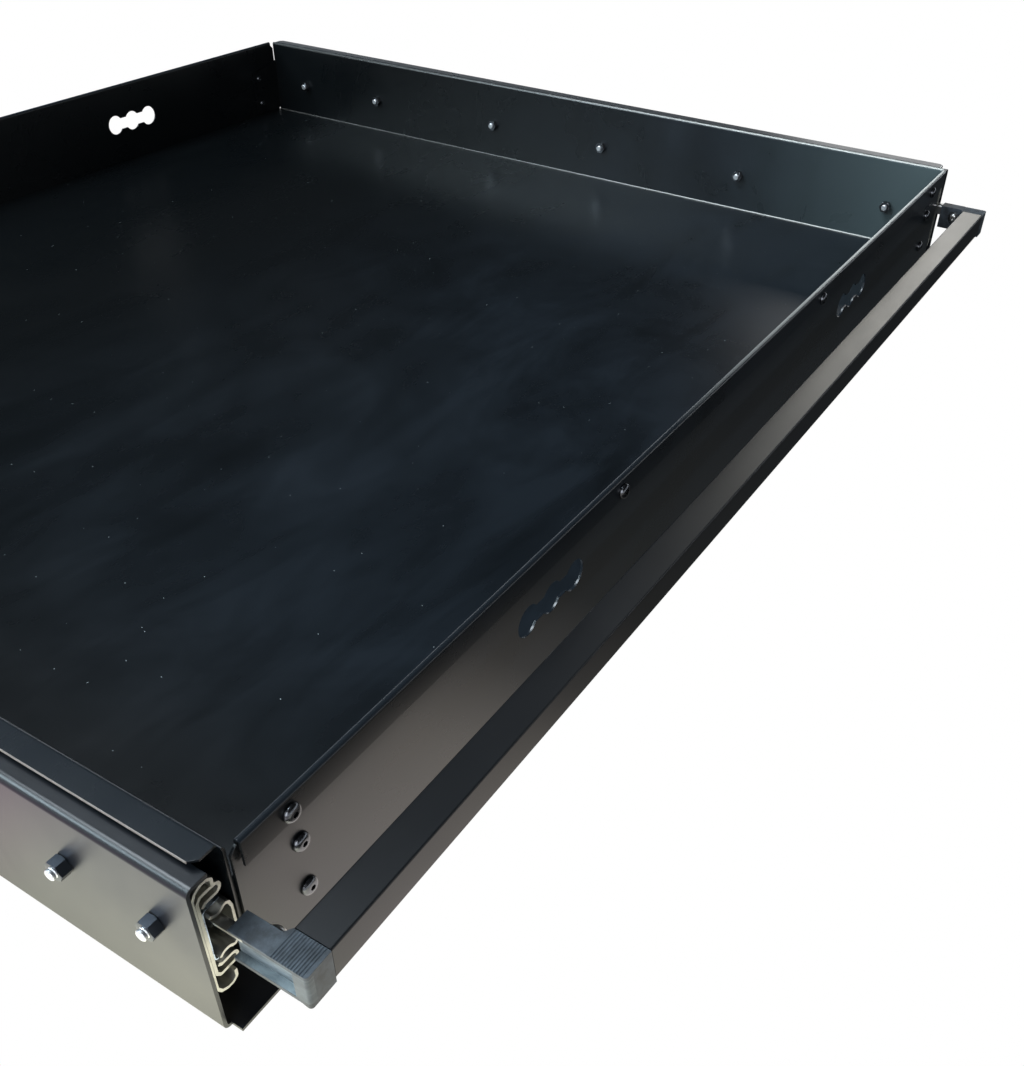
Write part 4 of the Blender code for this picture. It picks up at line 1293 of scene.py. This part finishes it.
def lever_profile():
    """The lever seen from its side: ribs along the top of its front half, a lip below."""
    points = [
        (lever_back, lever_top),
        (lever_back, lever_bottom),
        (lever_front + lever_lip_length, lever_bottom),
        (lever_front + lever_lip_length / 2, lever_lip_bottom),
        (lever_front, lever_lip_bottom),
        (lever_front, lever_top - lever_rib_rise),
    ]
    base = lever_top - lever_rib_rise
    for index in range(lever_rib_count):
        start = lever_rib_first + index * lever_rib_pitch
        points.append((start, base))
        points.append((start + lever_rib_width / 4, lever_top))
        points.append((start + lever_rib_width * 3 / 4, lever_top))
        points.append((start + lever_rib_width, base))
    points.append((lever_taper_front, base))
    points.append((lever_taper_back, lever_top))
    return points


def build_lever(side):
    """A moulded lever, open on its outer side, with a peg that enters the pull tube."""
    name = side_names[side] + "_release_lever"
    bm = bmesh.new()
    add_prism(bm, lever_profile(), "X", side * lever_wide_inner, side * lever_outer)
    front = [
        edge
        for edge in bm.edges
        if all(
            abs(vert.co.x - side * lever_outer) < rest_gap
            and abs(vert.co.y - front_edge - lever_front) < rest_gap
            for vert in edge.verts
        )
    ]
    round_edges(bm, front, lever_corner)
    obj = new_object(name + "_skin", bm)

    bm = bmesh.new()
    under = lever_lip_bottom - overrun
    over = lever_top + overrun
    slim = [
        (side * (lever_wide_inner - overrun), lever_back + overrun),
        (side * lever_slim_inner, lever_back + overrun),
        (side * lever_slim_inner, lever_taper_back),
        (side * lever_wide_inner, lever_taper_front),
        (side * (lever_wide_inner - overrun), lever_taper_front),
    ]
    add_prism(bm, slim, "Z", under, over)
    carve(obj, bm)

    bm = bmesh.new()
    recess = [
        (side * (lever_outer - lever_recess_depth), lever_back + overrun),
        (side * (lever_outer + overrun), lever_back + overrun),
        (side * (lever_outer + overrun), lever_front + lever_block),
        (side * (lever_outer - lever_recess_depth), lever_front + lever_block),
    ]
    high = lever_top - lever_rib_rise - lever_wall
    add_prism(bm, recess, "Z", lever_bottom + lever_wall, high)
    carve(obj, bm)
    bm = bmesh.new()
    across = sorted((side * (strap_leg_inner - rest_gap), side * (lever_outer + overrun)))
    add_box(
        bm,
        (across[0], lever_back - strap_plate_lap - rest_gap, high - join_depth),
        (across[1], lever_back + overrun, strap_top + rest_gap),
    )
    carve(obj, bm)

    bm = bmesh.new()
    across = sorted((side * (strap_leg_inner - rest_gap), side * (strap_leg_outer + rest_gap)))
    add_box(
        bm,
        (across[0], strap_front - rest_gap, slide_middle_height - strap_low_rise - rest_gap),
        (across[1], lever_back + overrun, high),
    )
    carve(obj, bm)

    bm = bmesh.new()
    peg = bar_wall + rest_gap
    across = sorted(
        (side * (lever_wide_inner - lever_spigot_depth), side * (lever_wide_inner + join_depth))
    )
    add_box(
        bm,
        (across[0], bar_front + peg, bar_top - bar_size + peg),
        (across[1], bar_front + bar_size - peg, bar_top - peg - lever_rib_rise),
    )
    carve(obj, bm, "UNION")
    bm = bmesh.new()
    point = (side * lever_slim_inner, lever_screw_depth, lever_screw_height)
    length = 2 * (strap_leg_outer - lever_slim_inner)
    add_hole(bm, "X", point, shank_radius + hole_clearance, length)
    carve(obj, bm)
    dress(obj, "release", "lever_plastic", (name,), lever_edge)


def fastener_matrix(point, turn):
    """Where a fastener drawn about X stands, turned about the upright."""
    x, y, z = point
    return Matrix.Translation((x, y + front_edge, z)) @ Matrix.Rotation(turn, 4, "Z")


def spin_profile(name, profile, matrix):
    """A turned piece about X from its profile of places along X and radii."""
    bm = bmesh.new()
    points = [bm.verts.new((along, 0.0, radius)) for along, radius in profile]
    edges = [bm.edges.new(pair) for pair in zip(points, points[1:])]
    bmesh.ops.spin(
        bm,
        geom=points + edges,
        cent=(0.0, 0.0, 0.0),
        axis=(1.0, 0.0, 0.0),
        angle=math.tau,
        steps=round_sides,
        use_merge=True,
    )
    bmesh.ops.remove_doubles(bm, verts=bm.verts, dist=weld_distance)
    bmesh.ops.transform(bm, matrix=matrix, verts=bm.verts)
    return new_object(name, bm)


def even_cutter(sides, radius, start, end, matrix):
    """A prism of even sides about X, which is as good as round when it has many."""
    bm = bmesh.new()
    bmesh.ops.create_cone(
        bm,
        cap_ends=True,
        segments=sides,
        radius1=radius,
        radius2=radius,
        depth=abs(end - start),
        matrix=matrix
        @ Matrix.Translation(((start + end) / 2, 0.0, 0.0))
        @ Matrix.Rotation(math.pi / 2, 4, "Y"),
    )
    return bm


def threaded_end(start, end):
    """The profile of a shank that leaves its seat plain and ends in a thread with a point chamfer."""
    points = [(start, shank_radius)]
    turns = int((end - thread_pitch - start) / thread_pitch)
    for index in range(turns):
        base = start + (index + 0.5) * thread_pitch
        points.append((base, shank_radius - thread_depth))
        points.append((base + thread_pitch / 2, shank_radius))
    points.append((end - thread_pitch / 2, shank_radius))
    points.append((end, shank_radius - thread_pitch / 2))
    points.append((end, 0.0))
    return points


def domed_head(seat, radius, rise):
    """The profile of a rounded head above its seat."""
    points = [(seat - rise, 0.0)]
    dome = rise * dome_share
    for step in range(bend_steps + 1):
        turn = dome_start + dome_sweep * step / bend_steps
        height = dome * math.cos(turn) / math.cos(dome_start) + rise - dome
        points.append((seat - height, radius * math.sin(turn)))
    points.append((seat, radius))
    return points


def set_screw(name, body, head, tail, matrix, material, socket_start=None):
    """A screw or bolt: its head and shank, with a hexagon socket where it has one."""
    obj = spin_profile(name + "_skin", [*head, *tail], matrix)
    if socket_start is not None:
        end = socket_start + socket_depth
        carve(obj, even_cutter(6, socket_flat_radius, socket_start - overrun, end, matrix))
    dress(obj, body, material, (name,))


def set_nut(name, body, start, end, matrix, material):
    """A hexagon nut with its corners turned off, open on its thread."""
    low, high = sorted((start, end))
    face = nut_radius * nut_face_share
    corner = nut_radius * nut_corner_share
    profile = [
        (low, 0.0),
        (low, face),
        (low + corner, nut_radius),
        (high - corner, nut_radius),
        (high, face),
        (high, 0.0),
    ]
    obj = spin_profile(name, profile, matrix)
    low -= overrun
    high += overrun
    carve(obj, even_cutter(6, nut_radius, low, high, matrix), "INTERSECT")
    carve(obj, even_cutter(round_sides, shank_radius, low, high, matrix))
    dress(obj, body, material)


def build_bracket_bolts(side, outward):
    """Sunk bolts through the outer rail and the bracket, with nuts outside."""
    sunk_top = rest_gap + rail_sheet - sunk_head_step
    head = [(-sunk_top, 0.0), (-sunk_top, sunk_head_radius), (0.0, sunk_head_radius - sunk_top)]
    nut_seat = bracket_sheet + rest_gap
    end = nut_seat + bracket_nut_rise + bracket_shank_proud
    for index, along in enumerate(bracket_bolt_places, 1):
        name = f"{side_names[side]}_bracket_bolt_{index}"
        point = (side * bracket_inner_face, along, bracket_bolt_height)
        matrix = fastener_matrix(point, outward)
        tail = threaded_end(nut_seat, end)
        set_screw(
            name, "fixed_frame", head, [(0.0, shank_radius), *tail], matrix, "bolt_end"
        )
        set_nut(
            name + "_nut",
            "fixed_frame",
            nut_seat,
            nut_seat + bracket_nut_rise,
            matrix,
            "nut_zinc",
        )


def build_tray_bolts(side, inward):
    """Round-headed bolts through the inner rail and the tray's side, with nuts inside."""
    seat = bracket_inner_face - inner_web_depth + rail_sheet / 2 + rest_gap
    nut_start = seat - tray_half_width + rest_gap
    nut_end = nut_start + nut_rise
    for index, along in enumerate(tray_bolt_places, 1):
        name = f"{side_names[side]}_tray_bolt_{index}"
        point = (side * (seat - rest_gap), along, slide_middle_height)
        matrix = fastener_matrix(point, inward)
        head = domed_head(-rest_gap, head_radius, head_rise)
        tail = threaded_end(-rest_gap, nut_end + shank_proud)
        set_screw(
            name, "drawer", head, tail, matrix, "bolt_end", -rest_gap - head_rise
        )
        set_nut(name + "_nut", "drawer", nut_start, nut_end, matrix, "screw_black")


def build_panel_screws():
    """The black screws at the ends of both panels and along the front panel's fold."""
    head = domed_head(-rest_gap, panel_head_radius, panel_head_rise)
    top = -rest_gap - panel_head_rise
    end_tail = threaded_end(-rest_gap, 2 * tray_sheet + rest_gap + screw_end_proud)
    ends = (
        ("front", front_end_screw_side, front_end_screw_heights, panel_front_face, math.pi / 2),
        ("back", back_end_screw_side, back_end_screw_heights, panel_back_face, -math.pi / 2),
    )
    for side in (-1, 1):
        for word, across, heights, face, turn in ends:
            for index, height in enumerate(heights, 1):
                name = f"{side_names[side]}_{word}_end_screw_{index}"
                matrix = fastener_matrix((side * across, face, height), turn)
                set_screw(name, "drawer", head, end_tail, matrix, "screw_black", top)
    hem_tail = threaded_end(-rest_gap, hem_depth + screw_end_proud)
    for index, across in enumerate(hem_screw_sides, 1):
        point = (across, panel_front_face + tray_sheet - hem_depth, hem_screw_height)
        matrix = fastener_matrix(point, math.pi / 2)
        name = f"hem_screw_{index}"
        set_screw(name, "drawer", head, hem_tail, matrix, "screw_black", top)


def build_lever_screw(side, outward):
    """The bright screw that clamps a lever to its steel strip."""
    name = side_names[side] + "_lever_screw"
    point = (side * lever_slim_inner, lever_screw_depth, lever_screw_height)
    matrix = fastener_matrix(point, outward)
    head = domed_head(-rest_gap, lever_head_radius, lever_head_rise)
    tail = threaded_end(-rest_gap, strap_leg_outer - lever_slim_inner)
    top = -rest_gap - lever_head_rise
    set_screw(name, "release", head, tail, matrix, "strap_steel", top)


def repaint_rest():
    """Gives the pieces that stay as modelled their better surfaces."""
    for side in (-1, 1):
        for word in ("_latch_strap", "_pivot_pin"):
            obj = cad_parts[side_names[side] + word]
            for slot in obj.material_slots:
                slot.material = materials["strap_steel"]


def studio_tones(tree, where, axis, stops):
    """The studio's brightness and tint along an axis, from stops of place, share and tint."""
    low, high = stops[0][0], stops[-1][0]
    tones = add_node(tree, "ShaderNodeValToRGB", {"Fac": slope(tree, where, axis, (low, high))})
    elements = tones.color_ramp.elements
    for index, (place, share, tint) in enumerate(stops):
        position = (place - low) / (high - low)
        element = elements[index] if index < 2 else elements.new(position)
        element.position = position
        element.color = (*(share * part for part in paint(tint)[:3]), 1.0)
    return tones.outputs["Color"]


def seen_or_mirrored(tree, seen, mirrored):
    """One glow for the eye and another for what lights and mirrors."""
    path = add_node(tree, "ShaderNodeLightPath")
    chosen = add_node(
        tree, "ShaderNodeMixShader", {0: path.outputs["Is Camera Ray"], 1: mirrored, 2: seen}
    )
    return chosen.outputs["Shader"]


def make_floor():
    """A pale floor that the eye sees as white.

    The coating mirrors it as warm, and as brighter towards the left.
    """
    bm = bmesh.new()
    bmesh.ops.create_grid(bm, x_segments=1, y_segments=1, size=floor_half_size)
    bmesh.ops.translate(bm, verts=bm.verts, vec=(0.0, 0.0, floor_drop))
    floor = new_object("studio_floor", bm)
    material, tree, shader, where = new_material("pale_floor")
    across = studio_tones(tree, where, "X", floor_tones)
    along = studio_tones(tree, where, "Y", floor_depth_tones)
    tint = add_node(tree, "ShaderNodeVectorMath", {0: across, 1: along}, operation="MULTIPLY")
    warm = add_node(
        tree, "ShaderNodeEmission", {"Color": tint.outputs["Vector"], "Strength": floor_bright}
    )
    white = add_node(tree, "ShaderNodeEmission", {"Color": paint("#ffffff"), "Strength": 1.0})
    glow = seen_or_mirrored(tree, white.outputs["Emission"], warm.outputs["Emission"])
    feed(tree, tree.nodes["Material Output"], {"Surface": glow})
    tree.nodes.remove(shader)
    floor.data.materials.append(material)


def make_world():
    """White where the eye looks past the drawer; a dim cool room in what the surfaces mirror."""
    world = bpy.data.worlds.new("studio")
    bpy.context.scene.world = world
    world.use_nodes = True
    tree = world.node_tree
    tree.nodes.clear()
    where = add_node(tree, "ShaderNodeTexCoord").outputs["Generated"]
    tones = studio_tones(tree, where, "Z", room_tones)
    room = add_node(tree, "ShaderNodeBackground", {"Color": tones, "Strength": room_bright})
    white = add_node(tree, "ShaderNodeBackground", {"Color": paint("#ffffff"), "Strength": 1.0})
    glow = seen_or_mirrored(tree, white.outputs["Background"], room.outputs["Background"])
    add_node(tree, "ShaderNodeOutputWorld", {"Surface": glow})


def add_lamp(name, place, target, size, watts, tint):
    """A soft rectangular lamp aimed at a point."""
    data = bpy.data.lights.new(name, "AREA")
    data.shape = "RECTANGLE"
    data.size, data.size_y = size
    data.energy = watts
    data.color = paint(tint)[:3]
    lamp = bpy.data.objects.new(name, data)
    lamp.location = place
    lamp.rotation_mode = "QUATERNION"
    lamp.rotation_quaternion = (Vector(target) - Vector(place)).to_track_quat("-Z", "Y")
    bpy.context.scene.collection.objects.link(lamp)
    return lamp


def aim_only_at(lamp, obj):
    """Keeps a lamp's light for one piece."""
    lit = bpy.data.collections.new(lamp.name + "_lit")
    lit.objects.link(obj)
    lamp.light_linking.receiver_collection = lit


def make_camera():
    """The photograph's camera."""
    sin_h, cos_h = math.sin(camera_heading), math.cos(camera_heading)
    sin_t, cos_t = math.sin(camera_pitch), math.cos(camera_pitch)
    sin_r, cos_r = math.sin(camera_roll), math.cos(camera_roll)
    ahead = Vector((sin_h * cos_t, cos_h * cos_t, -sin_t))
    right = Vector((cos_h, -sin_h, 0.0))
    down = ahead.cross(right)
    turned_right = right * cos_r + down * sin_r
    turned_down = down * cos_r - right * sin_r
    data = bpy.data.cameras.new("camera")
    data.sensor_width = sensor_size
    data.lens = camera_focal_pixels * sensor_size / picture_height
    data.shift_x = (picture_width / 2 - picture_centre_x) / picture_height
    data.shift_y = (picture_centre_y - picture_height / 2) / picture_height
    data.clip_start = camera_near
    camera = bpy.data.objects.new("camera", data)
    x, y, z = camera_place
    columns = Matrix((turned_right, -turned_down, -ahead)).transposed().to_4x4()
    camera.matrix_world = Matrix.Translation((x, y + front_edge, z)) @ columns
    bpy.context.scene.collection.objects.link(camera)
    bpy.context.scene.camera = camera
    bpy.context.scene.view_settings.view_transform = "Standard"


materials = make_materials()
for side in (-1, 1):
    inward = 0.0 if side < 0 else math.pi
    outward = math.pi - inward
    build_bracket(side)
    build_outer_rail(side)
    build_middle_rail(side)
    build_inner_rail(side)
    build_cages(side)
    build_lever(side)
    build_bracket_bolts(side, outward)
    build_tray_bolts(side, inward)
    build_lever_screw(side, outward)
build_tray()
build_panel("front_panel", False)
build_panel("back_panel", True)
bar = build_bar()
build_panel_screws()
repaint_rest()
make_floor()
make_world()
hung_lamps = {name: add_lamp(name, *settings) for name, settings in lamps.items()}
aim_only_at(hung_lamps["bar_glow"], bar)
make_camera()
